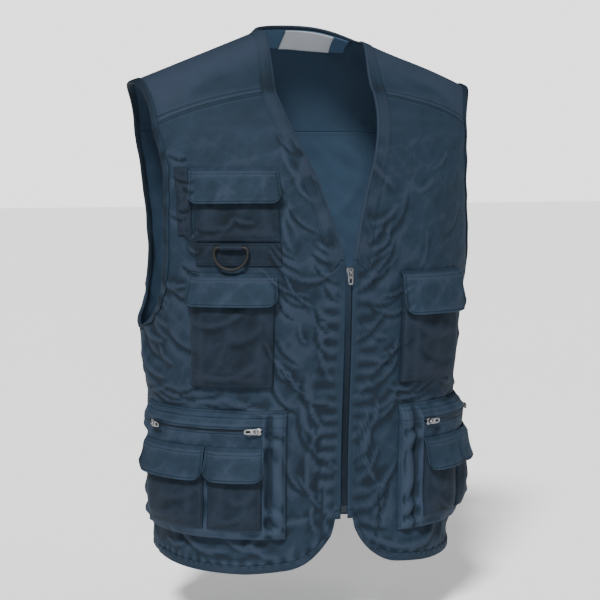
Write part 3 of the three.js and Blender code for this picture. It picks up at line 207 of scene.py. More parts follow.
def trunk(angle, drop):
    """Smooth body surface, by angle from the front line and drop below the neck."""
    share = np.asarray(drop, float) / BODY_LENGTH
    half = smooth_table(SECTIONS, share, HALF) * HALF_CHEST
    front = smooth_table(SECTIONS, share, FRONT) * FRONT_DEPTH
    back = smooth_table(SECTIONS, share, BACK) * BACK_DEPTH
    side = smooth_table(SECTIONS, share, SIDE) * BACK_DEPTH
    power = 2 / smooth_table(SECTIONS, share, SQUARE)
    s, c = np.sin(np.asarray(angle) * RADIANS), np.cos(np.asarray(angle) * RADIANS)
    x = half * np.sign(s) * np.abs(s) ** power
    k = np.abs(c) ** power
    y = np.where(c > 0, side - (front + side) * k, side + (back - side) * k)
    return np.stack(np.broadcast_arrays(x, y, -np.asarray(drop, float)), axis=-1)


def outward(angle, drop):
    across = trunk(angle + 1, drop) - trunk(angle - 1, drop)
    down = trunk(angle, drop + 2) - trunk(angle, drop - 2)
    return -unit(np.cross(across, down))


def fold_height(angle, drop):
    height = np.zeros(np.broadcast(angle, drop).shape)
    for at, share, lean, length, width, rise in FOLDS:
        turn = angle - at
        turn = turn - 360 * np.round(turn / 360)
        across, down = turn * MM_PER_DEGREE, drop - share * BODY_LENGTH
        c, s = math.cos(lean * RADIANS), math.sin(lean * RADIANS)
        along = (down * c + across * s) / (length * FOLD_REACH)
        aside = (across * c - down * s) / (width * FOLD_REACH)
        height += rise * FOLD_HEIGHT * np.exp(-along**2 - aside**2)
    return height


def crease_height(rows, arc, drop):
    """Height of narrow creases, each sharp along its crest and fading at both ends."""
    arc, drop = np.broadcast_arrays(arc, drop)
    shape, arc, drop = arc.shape, arc.ravel(), drop.ravel()
    height = np.zeros(arc.shape)
    for a0, d0, a1, d1, width, rise in rows:
        margin = 4 * width + 0.2 * (abs(a1 - a0) + abs(d1 - d0))
        near = np.flatnonzero((arc > min(a0, a1) - margin) & (arc < max(a0, a1) + margin)
                              & (drop > min(d0, d1) - margin) & (drop < max(d0, d1) + margin))
        if len(near) == 0:
            continue
        along = np.array([a1 - a0, d1 - d0], float)
        length = np.linalg.norm(along)
        along /= length
        x, y = arc[near] - a0, drop[near] - d0
        u = (x * along[0] + y * along[1]) / length
        v = y * along[0] - x * along[1] - 0.12 * length * np.sin(np.clip(u, 0, 1) * math.pi)
        ends = soft(-0.18, 0.3, u) * (1 - soft(0.65, 1.15, u))
        v = v * (1 + 0.7 * (v * rise > 0))
        height[near] += rise * ends / np.cosh(2.3 * v / width)
    return height.reshape(shape)


ALL_CREASES = CREASES + tuple(scattered(CREASE_FIELDS, 11))
ARC_ANGLES = np.arange(0, 181, 3.0)
ARC_DROPS = np.arange(0, BODY_LENGTH + 8, 4.0)
_ring = trunk(ARC_ANGLES[None, :], ARC_DROPS[:, None])
ARC_TABLE = np.concatenate(
    [np.zeros((len(ARC_DROPS), 1)), np.cumsum(np.linalg.norm(np.diff(_ring, axis=1), axis=-1), axis=1)],
    axis=1)


def arc_at(angle, drop):
    """Distance round the body from the front line."""
    turned = (np.asarray(angle, float) + 180) % 360 - 180
    row = np.clip(np.asarray(drop, float) / 4, 0, len(ARC_DROPS) - 1.001)
    column = np.clip(np.abs(turned) / 3, 0, len(ARC_ANGLES) - 1.001)
    row, column = np.broadcast_arrays(row, column)
    i, j = row.astype(int), column.astype(int)
    f, g = row - i, column - j
    table = ARC_TABLE
    value = ((1 - f) * ((1 - g) * table[i, j] + g * table[i, j + 1])
             + f * ((1 - g) * table[i + 1, j] + g * table[i + 1, j + 1]))
    return np.sign(turned) * value


def angle_at(arc, drop):
    arc, drop = np.broadcast_arrays(np.asarray(arc, float), np.asarray(drop, float))
    out = np.zeros(arc.shape)
    flat_arc, flat_drop, flat_out = arc.ravel(), drop.ravel(), out.ravel()
    keys = np.round(flat_drop).astype(int)
    for key in np.unique(keys):
        row = key / 4
        i = min(int(row), len(ARC_DROPS) - 2)
        arcs = (1 - row + i) * ARC_TABLE[i] + (row - i) * ARC_TABLE[i + 1]
        pick = keys == key
        flat_out[pick] = np.sign(flat_arc[pick]) * np.interp(np.abs(flat_arc[pick]), arcs, ARC_ANGLES)
    return flat_out.reshape(arc.shape)


WAVES = np.random.default_rng(7).uniform(-1, 1, (26, 4))


def slack(arc, drop):
    """Faint unevenness of worn cloth."""
    height = np.zeros(np.broadcast(arc, drop).shape)
    for a, b, phase, size in WAVES:
        pitch = 62 + 40 * size
        height += 1 - 2 * np.abs(np.sin((arc * a + drop * b) * math.pi / pitch + phase * math.pi))
    return 0.07 * height


def body(angle, drop, lift=0.0):
    """Body cloth's surface with its folds and creases."""
    angle, drop = np.broadcast_arrays(np.asarray(angle, float), np.asarray(drop, float))
    arc = arc_at(angle, drop)
    seams = (soft(0, 26, np.abs(arc)) * soft(2, 70, np.abs(arc_at(180.0, drop)) - np.abs(arc))
             * (1 - soft(BODY_LENGTH - 30, BODY_LENGTH, drop)) * soft(118, 150, drop))
    strength = bpy.context.scene.vest_sizes.crease_strength
    height = (fold_height(angle, drop) + strength * seams
              * (crease_height(ALL_CREASES, arc, drop) + slack(arc, drop)))
    height = height + strength * zip_pucker(arc, drop)
    return trunk(angle, drop) + outward(angle, drop) * (height + lift)[..., None]


def zip_pucker(arc, drop):
    """Small gathers beside the front zip's stitching."""
    beside = (np.exp(-(((np.abs(arc) - 24) / 11) ** 2)) * soft(V_DROP, V_DROP + 30, drop)
              * (1 - soft(590, 625, drop)))
    wave = (np.sin(drop * 2 * math.pi / 17 + np.sign(arc) * 1.3 + 1.4 * np.sin(drop / 37))
            * (0.6 + 0.4 * np.sin(drop / 23 + arc / 14)))
    return 0.5 * beside * wave


def cloth_point(arc, drop, lift):
    return body(angle_at(arc, drop), drop, lift)


def angle_at_half(half, drop):
    share = np.asarray(drop, float) / BODY_LENGTH
    wide = smooth_table(SECTIONS, share, HALF) * HALF_CHEST
    power = 2 / smooth_table(SECTIONS, share, SQUARE)
    return np.arcsin(np.minimum(half / wide, 1) ** (1 / power)) / RADIANS


def front_edge_angle(drop):
    half = smooth_table(V_OPENING, drop / V_DROP) * NECK_HALF
    return angle_at_half(np.where(drop < V_DROP, np.maximum(half, FRONT_EDGE_GAP), FRONT_EDGE_GAP), drop)


def front_seam_drop(u):
    return YOKE_FRONT_IN + (YOKE_FRONT_OUT - YOKE_FRONT_IN) * np.maximum(u, 0) ** 1.15


SIDE_ARC = float(arc_at(93.0, BODY_LENGTH))


def front_bottom_drop(u):
    arc = np.maximum(u * SIDE_ARC, FRONT_EDGE_GAP)
    corner = 1 - np.clip((arc - FRONT_EDGE_GAP) / CORNER_RUN, 0, 1)
    rounding = CORNER_RISE * (1 - np.sqrt(1 - corner * corner))
    slope = HEM_SLOPE_RISE * (1 - np.clip((arc - FRONT_EDGE_GAP) / HEM_SLOPE_RUN, 0, 1)) ** 1.5
    return BODY_LENGTH - rounding - slope - SIDE_HEM_RISE * u**4


def front_place(side, u, v):
    """Angle and drop on a front panel, by share across and share down."""
    top = front_seam_drop(u) + FIT_GAP
    drop = top + (front_bottom_drop(u) - top) * v
    inner = front_edge_angle(drop)
    outer = smooth_table(FRONT_ARMHOLE, drop / UNDERARM_DROP)
    return side * (inner + (outer - inner) * u), drop


def front_point(side, u, v, lift=0.0):
    angle, drop = front_place(side, u, v)
    return body(angle, drop, lift)


UNDERARM_SHARE = ((UNDERARM_DROP - YOKE_FRONT_OUT - FIT_GAP)
                  / (float(front_bottom_drop(1.0)) - YOKE_FRONT_OUT - FIT_GAP))
BACK_BOTTOM, BACK_TOP = BODY_LENGTH - SIDE_HEM_RISE, YOKE_BACK + SEAM_GAP
BACK_UNDERARM = (UNDERARM_DROP - BACK_TOP) / (BACK_BOTTOM - BACK_TOP)


def back_place(u, v):
    drop = BACK_TOP + (BACK_BOTTOM - BACK_TOP) * v
    edge = smooth_table(BACK_ARMHOLE, drop / UNDERARM_DROP) + SEAM_GAP / MM_PER_DEGREE
    return edge + (360 - 2 * edge) * u, drop


def back_point(u, v, lift=0.0):
    angle, drop = back_place(u, v)
    return body(angle, drop, lift)


def arch(start, start_way, end, end_way, t):
    """Curve between two points that leaves each one the way it is given."""
    reach = np.linalg.norm(end - start, axis=-1, keepdims=True) * 0.42
    a, b = start + start_way * reach, end + end_way * reach
    t = np.asarray(t, float)[..., None]
    return (1 - t) ** 3 * start + 3 * (1 - t) ** 2 * t * a + 3 * (1 - t) * t**2 * b + t**3 * end


def up_along(angle, drop):
    return unit(body(angle, drop - 4) - body(angle, drop + 4))


def ridge_point(side, s):
    neck = np.array([NECK_HALF, -NECK_FORWARD, -LEFT_NECK_FALL if side > 0 else 0.0])
    point = neck + (np.array([TIP_HALF, 0, -TIP_DROP]) - neck) * np.asarray(s, float)[..., None]
    return point * np.array([side, 1, 1])


def yoke_front(side, s, t):
    drop = front_seam_drop(s)
    inner = front_edge_angle(drop)
    angle = side * (inner + (smooth_table(FRONT_ARMHOLE, drop / UNDERARM_DROP) - inner) * s)
    way = unit(np.array([0, -1, 0.12]))
    return arch(body(angle, drop), up_along(angle, drop), ridge_point(side, s), way, t)


def yoke_back_from(top, way, angle, t):
    drop = np.full(np.shape(angle), float(YOKE_BACK))
    return arch(top, way, body(angle, drop), up_along(angle, drop), t)


def yoke_back(side, s, t):
    outer = float(smooth_table(BACK_ARMHOLE, YOKE_BACK / UNDERARM_DROP))
    angle = side * (NECK_SIDE_ANGLE + (outer - NECK_SIDE_ANGLE) * s)
    return yoke_back_from(ridge_point(side, s), np.array([0.0, 1, 0]), angle, t)


def yoke_neck(turn, t):
    s, c = np.sin(turn * RADIANS), np.cos(turn * RADIANS)
    fall = LEFT_NECK_FALL * np.maximum(s, 0) ** 3
    top = np.stack([NECK_HALF * s, BACK_NECK_REACH * c - NECK_FORWARD, BACK_NECK_RISE * c - fall], axis=-1)
    way = unit(np.stack([0 * c, 1 + 0 * c, -BACK_NECK_SLOPE * c], axis=-1))
    return yoke_back_from(top, way, 180 - (turn / 90) * (180 - NECK_SIDE_ANGLE), t)


def shoulder(side, s, t):
    t = np.asarray(t, float)
    return np.where((t < 1)[..., None], yoke_front(side, s, np.minimum(t, 1)),
                    yoke_back(side, s, np.maximum(t - 1, 0)))


def raised(place, u, v, lift, step=0.01):
    """Points of a surface moved outwards by their lift."""
    across = place(u + step, v) - place(u - step, v)
    down = place(u, v + step) - place(u, v - step)
    point = place(u, v)
    normal = unit(np.cross(across, down))
    inside = np.stack([point[..., 0] / 2, np.full(point.shape[:-1], BACK_DEPTH / 4),
                       point[..., 2] - FRONT_DEPTH], axis=-1)
    flip = np.sign(((point - inside) * normal).sum(-1))[..., None]
    return point + normal * flip * np.asarray(lift, float)[..., None]


# Grids and shells
def spread(start, end, pitch, near=(), fine=1.2, reach=10):
    """Places from start to end, a pitch apart, and closer near the given places."""
    places = [start]
    while places[-1] < end:
        at = places[-1]
        gap = min([abs(at - n) for n in near], default=1e9)
        places.append(at + (fine if gap < reach else min(pitch, max(fine, (gap - reach) * 0.5 + fine))))
    places = np.array(places)
    return start + (places - start) * (end - start) / (places[-1] - start)


def mesh_grid(acrosses, downs):
    return np.meshgrid(np.asarray(acrosses, float), np.asarray(downs, float))


def merged(patches):
    """Joined points, faces and pattern places of grids that share their seams."""
    points, uvs, quads, base = [], [], [], 0
    for grid, place in patches:
        rows, columns = grid.shape[:2]
        index = base + np.arange(rows * columns).reshape(rows, columns)
        corners = [index[:-1, :-1], index[1:, :-1], index[1:, 1:], index[:-1, 1:]]
        quads.append(np.stack(corners, axis=-1).reshape(-1, 4))
        points.append(grid.reshape(-1, 3))
        uvs.append(place.reshape(-1, 2))
        base += rows * columns
    points, uvs, quads = np.concatenate(points), np.concatenate(uvs), np.concatenate(quads)
    keys = np.round(points * 50).astype(np.int64)
    _, first, inverse = np.unique(keys, axis=0, return_index=True, return_inverse=True)
    faces = inverse.reshape(-1)[quads]
    sound = np.array([len(set(face)) == 4 for face in faces])
    return points[first], faces[sound], uvs[first], uvs[quads[sound]]


def nearness(verts, rim):
    """1 at the places of a rim, falling to 0 a few millimetres inside it."""
    tree = KDTree(len(rim))
    for i, v in enumerate(verts[rim]):
        tree.insert(v, i)
    tree.balance()
    gap = np.array([tree.find(v)[2] for v in verts])
    return np.exp(-((gap / 2.2) ** 2))


def note(piece, name, values):
    """Keeps one number for each point of a piece, for its material to read."""
    attribute = piece.data.attributes.new(name, "FLOAT", "POINT")
    attribute.data.foreach_set("value", values.astype(np.float32))


def cloth_shell(name, patches, wall, body_name="vest"):
    """A closed cloth of even thickness with rounded edges, from grids of outer points and pattern places."""
    verts, faces, vert_uv, corner_uv = merged(patches)
    normal = np.cross(verts[faces[:, 2]] - verts[faces[:, 0]], verts[faces[:, 3]] - verts[faces[:, 1]])
    normals = np.zeros_like(verts)
    for k in range(4):
        np.add.at(normals, faces[:, k], normal)
    normals = unit(normals)
    edges = np.concatenate([np.stack([faces[:, k], faces[:, (k + 1) % 4]], axis=-1) for k in range(4)])
    keys = {(int(a), int(b)) for a, b in edges}
    border = np.array([(a, b) for a, b in keys if (b, a) not in keys])
    p, q = border[:, 0], border[:, 1]
    aside = np.zeros_like(verts)
    way = np.cross(unit(verts[q] - verts[p]), unit(normals[p] + normals[q]))
    np.add.at(aside, p, way)
    np.add.at(aside, q, way)
    rim = np.unique(border)
    count = len(verts)
    inner = verts - normals * wall
    rims = verts[rim] - normals[rim] * wall / 2 + unit(aside[rim]) * wall * 0.4
    rp, rq = 2 * count + np.searchsorted(rim, p), 2 * count + np.searchsorted(rim, q)
    outer_rim = np.stack([q, p, rp, rq], axis=-1)
    inner_rim = np.stack([p + count, q + count, rq, rp], axis=-1)
    all_faces = np.concatenate([faces, faces[:, ::-1] + count, outer_rim, inner_rim])
    all_uv = np.concatenate([vert_uv, vert_uv, vert_uv[rim]])
    rim_uv = all_uv[all_faces[2 * len(faces):]]
    loops = np.concatenate([part.reshape(-1, 2) for part in (corner_uv, corner_uv[:, ::-1], rim_uv)])
    piece = new_piece(name + "_cloth", np.concatenate([verts, inner, rims]) * MM, all_faces, body_name)
    layer = piece.data.uv_layers.new(name="pattern")
    layer.data.foreach_set("uv", (loops * MM).astype(np.float32).ravel())
    edge, fold = nearness(verts, rim), fold_of(verts, normals, edges)
    note(piece, "edge", np.concatenate([edge, edge, np.ones(len(rim))]))
    # The twill material reads fold to paint shade in the valleys and highlights on the ridges.
    note(piece, "fold", np.concatenate([fold, fold, fold[rim]]))
    # The twill material reads inside to make the inner faces paler, partly as the wrong side and partly as
    # painted light.
    note(piece, "inside", np.concatenate([np.zeros(count), np.ones(count), np.zeros(len(rim))]))
    piece["area"] = float(np.linalg.norm(normal, axis=1).sum() / 2) * MM * MM
    return piece


def fold_of(verts, normals, edges):
    """How far each place lies above the cloth around it, from -1 in a valley to 1 on a ridge."""
    count = len(verts)
    links = np.concatenate([edges, edges[:, ::-1]])
    degree = np.bincount(links[:, 0], minlength=count).astype(float)

    def around(values):
        total = np.stack([np.bincount(links[:, 0], values[links[:, 1], k], count)
                          for k in range(values.shape[1])], axis=-1)
        return total / degree[:, None]

    smooth, fold = verts, np.zeros(count)
    for step in range(8):
        smooth = around(smooth)
        if step in (0, 2, 7):
            fold += ((verts - smooth) * normals).sum(-1) / (0.15 + 0.12 * step)
    return np.tanh(fold)


def new_piece(name, verts, faces, body_name):
    mesh = bpy.data.meshes.new(name)
    mesh.from_pydata(np.asarray(verts).tolist(), [], np.asarray(faces).tolist())
    mesh.update()
    mesh.polygons.foreach_set("use_smooth", np.ones(len(mesh.polygons), bool))
    piece = bpy.data.objects.new(name, mesh)
    bpy.context.scene.collection.objects.link(piece)
    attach(piece, body_name)
    return piece


def cut_from(piece, width, length, held, rests_on):
    """Works out a cloth piece's flat size, its area and the names of the pieces it rests on from the size it
    was cut to, in millimetres, and keeps none of them.
    """
    width, length = max(width, 2 * HEM_BAND) * MM, max(length, 2 * HEM_BAND) * MM
    area = min(piece["area"] * 0.97, width * length)
    [name + "_cloth" for name in rests_on]
    max(area, 0.31 * width * length)


def sew(name, patch, wall, kind, held, rests_on, cut=(None, None)):
    piece = cloth_shell(name, [patch], wall)
    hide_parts(name)
    dress(piece, kind)
    width, length = (reach_of(patch[0], axis) if size is None else size for size, axis in zip(cut, (1, 0)))
    cut_from(piece, width, length, held, rests_on)


def laid(side, grid, aa, dd):
    """A grid on one side of the vest with its pattern places, by arc and drop."""
    return leftward(side, grid, np.stack([side * aa, -dd], axis=-1))


def reach_of(grid, axis):
    """Longest way across a grid along one of its axes."""
    return float(np.linalg.norm(np.diff(grid, axis=axis), axis=-1).sum(axis=axis).max())


def leftward(side, grid, place):
    """Turns the wearer's right side round, so that its faces point outwards too."""
    return (grid[:, ::-1], place[:, ::-1]) if side < 0 else (grid, place)


# Materials
class Wire:
    """One socket of a material's node tree, used in plain arithmetic."""

    def __init__(self, paint, socket):
        self.paint = paint
        self.socket = socket

    def _math(self, kind, a, b):
        return self.paint.add("ShaderNodeMath", {"operation": kind}, {0: a, 1: b})

    def __add__(self, other):
        return self._math("ADD", self, other)

    def __radd__(self, other):
        return self._math("ADD", other, self)

    def __sub__(self, other):
        return self._math("SUBTRACT", self, other)

    def __rsub__(self, other):
        return self._math("SUBTRACT", other, self)

    def __mul__(self, other):
        return self._math("MULTIPLY", self, other)

    def __rmul__(self, other):
        return self._math("MULTIPLY", other, self)


class Paint:
    """The node tree of a material or of the world, being mixed."""

    def __init__(self, holder):
        self.holder = holder
        holder.use_nodes = True
        self.nodes = holder.node_tree.nodes
        self.links = holder.node_tree.links
        self.nodes.clear()

    def add(self, kind, settings=None, values=None, out=0):
        node = self.nodes.new(kind)
        for key, value in (settings or {}).items():
            setattr(node, key, value)
        for key, value in (values or {}).items():
            if isinstance(value, Wire):
                self.links.new(value.socket, node.inputs[key])
            else:
                node.inputs[key].default_value = value
        return Wire(self, node.outputs[out]) if len(node.outputs) else None

    def mix(self, factor, a, b):
        return self.add("ShaderNodeMix", {"data_type": "RGBA"}, {0: factor, 6: a, 7: b}, out=2)

    def surface(self, values, bump=None, strength=0.3, distance=0.0004):
        if bump is not None:
            bumps = {"Strength": strength, "Distance": distance, "Height": bump}
            values = dict(values, Normal=self.add("ShaderNodeBump", None, bumps))
        shader = self.add("ShaderNodeBsdfPrincipled", None, values)
        self.add("ShaderNodeOutputMaterial", None, {"Surface": shader})
        return self.holder

    def noise(self, vector, scale, detail=3.0, roughness=0.55):
        values = {"Vector": vector, "Scale": scale, "Detail": detail, "Roughness": roughness}
        return self.add("ShaderNodeTexNoise", None, values)

    def place(self):
        """Place in the piece's own space."""
        return self.add("ShaderNodeTexCoord", out=3)

    def pattern(self):
        """Place on the cloth as it was cut."""
        return self.add("ShaderNodeUVMap", {"uv_map": "pattern"})

    def noted(self, name):
        """A number kept for each point of the piece."""
        return self.add("ShaderNodeAttribute", {"attribute_name": name}, out=2)

    def share(self, value, low, high, most=1.0):
        """A value as a share from 0 at low to most at high."""
        return self.add("ShaderNodeMapRange", None,
                        {"Value": value, "From Min": low, "From Max": high, "To Max": most})


def tone(colour, share):
    return (colour[0] * share, colour[1] * share, colour[2] * share, 1.0)


def new_paint(name):
    return Paint(bpy.data.materials.new(name))


def twill(name, colour, light=1.0, wear=0.5, pale_lit_inside=1.0):
    """Navy work twill: diagonal ribs, flecked yarn, washed patches, painted shade in fold valleys, painted
    highlights on fold crests, a wrong side made paler partly as the twill's paler back and partly as painted
    light, and rubbed edges.
    """
    paint = new_paint(name)
    pattern, place = paint.pattern(), paint.place()
    broad = paint.noise(place, 14.0, 4.0)
    blotch = paint.noise(place, 60.0, 4.0, 0.6)
    yarn = paint.noise(pattern, 900.0, 2.0)
    rib = paint.add(
        "ShaderNodeTexWave", {"wave_type": "BANDS", "bands_direction": "DIAGONAL", "wave_profile": "SIN"},
        {"Vector": pattern, "Scale": 420.0, "Distortion": 1.2, "Detail": 1.0, "Detail Scale": 2.0}, out=1)
    edge, fold, inside = paint.noted("edge"), paint.noted("fold"), paint.noted("inside")
    # light scales every tone: below 1 for the bands' darker trim, painted shade for pocket cloth, painted light
    # for bellows, flap and facing cloth.
    washed = paint.mix(paint.share(broad * 0.5 + blotch * 0.5, 0.3, 0.7), tone(colour, 0.7 * light),
                       tone(colour, 1.35 * light))
    flecked = paint.mix(paint.share(yarn, 0.35, 0.65, 0.35), washed, tone(colour, 1.7 * light))
    ribbed = paint.mix(0.16 * rib, flecked, tone(colour, 0.45 * light))
    # Painted shade: the cloth is darkened in the valleys of its folds.
    valley_shade = paint.mix(paint.share(fold, -0.15, -1.0, 0.6), ribbed, tone(colour, 0.3 * light))
    # Painted highlight: a paler, greyer tint on the crests of the folds.
    highlight_tint = (colour[1] * 0.8, colour[1] * 1.05, colour[2])
    crest = paint.mix(paint.share(fold, 0.2, 1.0, 0.34), valley_shade, tone(highlight_tint, 2.3 * light))
    # Inner faces made paler: partly the twill's paler wrong side, partly painted light on the shaded inside.
    inside_pale_and_lit = paint.mix(inside * (0.5 + 0.5 * broad) * pale_lit_inside, crest, tone(colour, 2.6 * light))
    rubbed = paint.mix(edge * (0.1 + blotch * 0.35) * wear, inside_pale_and_lit, tone(colour, 2.4 * light))
    return paint.surface(
        {"Base Color": rubbed, "Roughness": 0.72 + 0.16 * yarn, "Sheen Weight": 0.05, "Sheen Roughness": 0.4,
         "Sheen Tint": tone(colour, 12.0), "Specular IOR Level": 0.12},
        bump=rib * 0.4 + yarn * 0.5 + blotch * 0.7, strength=0.35, distance=0.0005)


def metal(name, colour, rough):
    """Plated zip metal with fine scuffs."""
    paint = new_paint(name)
    place = paint.place()
    scuff = paint.noise(place, 900.0)
    base = paint.mix(paint.noise(place, 180.0), tone(colour, 0.8), tone(colour, 1.05))
    return paint.surface({"Base Color": base, "Metallic": 1.0, "Roughness": rough + 0.22 * scuff}, bump=scuff,
                         strength=0.12, distance=0.0002)


def enamel(name, colour, rough):
    """Black coated metal or moulded plastic, rubbed a little."""
    paint = new_paint(name)
    place = paint.place()
    scuff = paint.noise(place, 500.0, 4.0)
    base = paint.mix(paint.noise(place, 90.0), tone(colour, 0.8), tone(colour, 1.5))
    return paint.surface({"Base Color": base, "Roughness": rough + 0.25 * scuff, "Specular IOR Level": 0.25},
                         bump=scuff, strength=0.15, distance=0.0002)


def woven_label(name, colour):
    """Satin-woven label cloth, bare."""
    paint = new_paint(name)
    pattern = paint.pattern()
    weft = paint.add("ShaderNodeTexWave", {"wave_type": "BANDS", "bands_direction": "Y"},
                     {"Vector": pattern, "Scale": 500.0, "Distortion": 0.6}, out=1)
    cloud = paint.noise(pattern, 70.0, 4.0)
    woven = paint.mix(cloud, tone(colour, 0.82), tone(colour, 1.06))
    base = paint.mix(paint.noted("edge") * 0.35, woven, tone(colour, 0.6))
    return paint.surface({"Base Color": base, "Roughness": 0.55 + 0.2 * cloud, "Sheen Weight": 0.2},
                         bump=weft, strength=0.25, distance=0.0002)


def thread(name, colour):
    """Sewing thread, two plies twisted."""
    paint = new_paint(name)
    ply = paint.noise(paint.place(), 2500.0, 2.0)
    base = paint.mix(ply, tone(colour, 0.7), tone(colour, 1.3))
    return paint.surface({"Base Color": base, "Roughness": 0.7 + 0.2 * ply, "Specular IOR Level": 0.15},
                         bump=ply, distance=0.0002)


def finish_of(kind):
    """The material of a finish, made when it is first asked for."""
    sizes = bpy.context.scene.vest_sizes
    if kind in bpy.data.materials:
        return bpy.data.materials[kind]
    navy = tuple(sizes.navy)
    makers = {
        "work_twill": lambda: twill(kind, navy),
        "band_twill": lambda: twill(kind, navy, 0.85, 0.35, 0.0),
        # Painted shade: the pocket, ring band and ring tab cloth is the body's navy made darker.
        "pocket_twill": lambda: twill(kind, navy, 0.6, 0.35),
        # Painted light: the bellows pocket and flap cloth is the body's navy made lighter.
        "bellows_twill_painted_light": lambda: twill(kind, navy, 1.12, 0.3),
        "flap_twill": lambda: twill(kind, navy, 1.08, 0.3),
        # Painted light: the neck facing is the body's navy made more than twice as light.
        "facing_twill_painted_light": lambda: twill(kind, navy, 2.2, 0.3),
        "tape_weave": lambda: twill(kind, tuple(sizes.tape), 1.0, 0.2),
        "zip_nickel": lambda: metal(kind, (0.21, 0.215, 0.225), 0.24),
        "dark_teeth": lambda: enamel(kind, tuple(sizes.tape), 0.4),
        "ring_enamel": lambda: enamel(kind, (0.004, 0.004, 0.0045), 0.42),
        "label_satin": lambda: woven_label(kind, tuple(sizes.label)),
        "navy_thread": lambda: thread(kind, tuple(c * 0.9 for c in navy)),
    }
    return makers[kind]()


def dress(piece, kind):
    piece.data.materials.clear()
    piece.data.materials.append(finish_of(kind))


# Cloth pieces
def stitched_groove(gap, rows, depth=0.45, width=0.8):
    """Sunken lines where rows of stitching pull the cloth down."""
    return -depth * sum(np.exp(-(((gap - row) / width) ** 2)) for row in rows)


def edge_gap(grid):
    """Distance along the surface from the first column of a grid."""
    lengths = np.linalg.norm(np.diff(grid, axis=1), axis=-1)
    return np.concatenate([np.zeros((len(grid), 1)), np.cumsum(lengths, axis=1)], axis=1)


def run_along(points):
    """Distance along a line of points from its first one."""
    return np.concatenate([[0], np.cumsum(np.linalg.norm(np.diff(points, axis=0), axis=-1))])


def build_front(side, name):
    u = spread(0, 1, 0.0085, near=(0.0, 1.0), fine=0.003, reach=0.02)
    v = spread(0, 1, 0.0048, near=(0.0, 1.0), fine=0.0025, reach=0.015)
    uu, vv = mesh_grid(u, v)
    angle, drop = front_place(side, uu, vv)
    arc = arc_at(angle, drop)
    run = edge_gap(body(angle, drop))
    side_gap = run[:, -1:] - run
    top_gap = (drop - front_seam_drop(uu)) * 0.98
    hem_gap = front_bottom_drop(uu) - drop
    lift = (stitched_groove(top_gap, (SEAM_ROW,), 0.5)
            + stitched_groove(hem_gap, (HEM_FOLD_ROW, HEM_ROW), 0.5, 1.0))
    lift = lift + np.where(vv > UNDERARM_SHARE, stitched_groove(side_gap, (SEAM_ROW,), 0.6), 0)
    ripple = np.sin(arc * 2 * math.pi / 15 + 1.5 * np.sin(arc / 31))
    grid = body(angle, drop, lift + 0.35 * np.exp(-((hem_gap - 11) / 6) ** 2) * ripple)
    sew(name, leftward(side, grid, np.stack([arc, -drop], axis=-1)), CLOTH, "work_twill",
        "hung", ["yoke"])


def build_back():
    u = spread(0, 1, 0.0085, near=(0.0, 1.0), fine=0.003, reach=0.012)
    v = spread(0, 1, 0.0085, near=(0.0, 1.0), fine=0.003, reach=0.02)
    uu, vv = mesh_grid(u, v)
    angle, drop = back_place(uu, vv)
    arc = arc_at(angle, drop)
    lift = stitched_groove(drop - BACK_TOP, (SEAM_ROW,), 0.5)
    lift = lift + stitched_groove(BACK_BOTTOM - drop, (HEM_FOLD_ROW, HEM_ROW), 0.5, 1.0)
    grid = body(angle, drop, lift)
    whole_round = 2 * float(arc_at(180.0, 400.0))
    place = np.stack([np.where(arc < 0, arc + whole_round, arc), -drop], axis=-1)
    sew("back_panel", (grid, place), CLOTH, "work_twill", "hung", ["yoke"])


def yoke_relief(along, across):
    """Seam grooves at the front end of the yoke, and a little slack behind them."""
    slack_wave = 0.5 * np.sin(across / 19 + along / 33) * soft(8, 30, along)
    return stitched_groove(along, (YOKE_ROW, FLAP_TOP_ROW), 0.5, 0.9) + slack_wave


def yoke_front_patch(side, s, t):
    ss, tt = mesh_grid(s, t)
    flat = yoke_front(side, ss, tt)
    along = edge_gap(flat.transpose(1, 0, 2)).T
    across = ss * YOKE_SPAN
    relief = yoke_relief(along, across) * soft(0, 0.04, ss) * (1 - soft(0.85, 1, tt))
    grid = raised(lambda a, b: yoke_front(side, a, b), ss, tt, relief, 1e-3)
    if side < 0:
        crease = np.exp(-((across - YOKE_CREASE_AT) ** 2)) * soft(2, 8, along)
        grid = grid + np.array([0, 0.5, 0]) * crease[..., None]
    grid[:, 0], grid[-1] = flat[:, 0], flat[-1]
    place = np.stack([side * (NECK_HALF + across), along - YOKE_RUN], axis=-1)
    return leftward(side, grid[::-1], place[::-1])


def yoke_back_patch(side, s, t):
    ss, tt = mesh_grid(s, t)
    flat = yoke_back(side, ss, tt)
    length = float(np.linalg.norm(np.diff(flat, axis=0), axis=-1).sum(0).mean())
    down = tt * length
    relief = stitched_groove(length - down, (YOKE_ROW, FLAP_TOP_ROW), 0.5, 0.9) * soft(0, 0.04, ss)
    grid = raised(lambda a, b: yoke_back(side, a, b), ss, tt, relief, 1e-3)
    grid[:, 0], grid[0] = flat[:, 0], flat[0]
    return leftward(-side, grid, np.stack([side * (NECK_HALF + ss * YOKE_SPAN), -down], axis=-1))


def build_yoke():
    s = spread(0, 1, 0.032, near=(0.0, 1.0), fine=0.01, reach=0.03)
    front = spread(0, 1, 0.05, near=(0.0,), fine=0.014, reach=0.1)
    back = spread(0, 1, 0.04, near=(1.0,), fine=0.012, reach=0.08)
    patches = [yoke_front_patch(side, s, front) for side in (-1, 1)]
    patches += [yoke_back_patch(side, s, back) for side in (-1, 1)]
    turns, tt = mesh_grid(np.linspace(90, -90, 61), back)
    patches.append((yoke_neck(turns, tt), np.stack([turns, -tt * 130], axis=-1)))
    piece = cloth_shell("yoke", patches, CLOTH)
    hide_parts("yoke")
    dress(piece, "work_twill")
    cut_from(piece, *YOKE_FLAT, "hung", ["front_panel_right", "back_panel"])


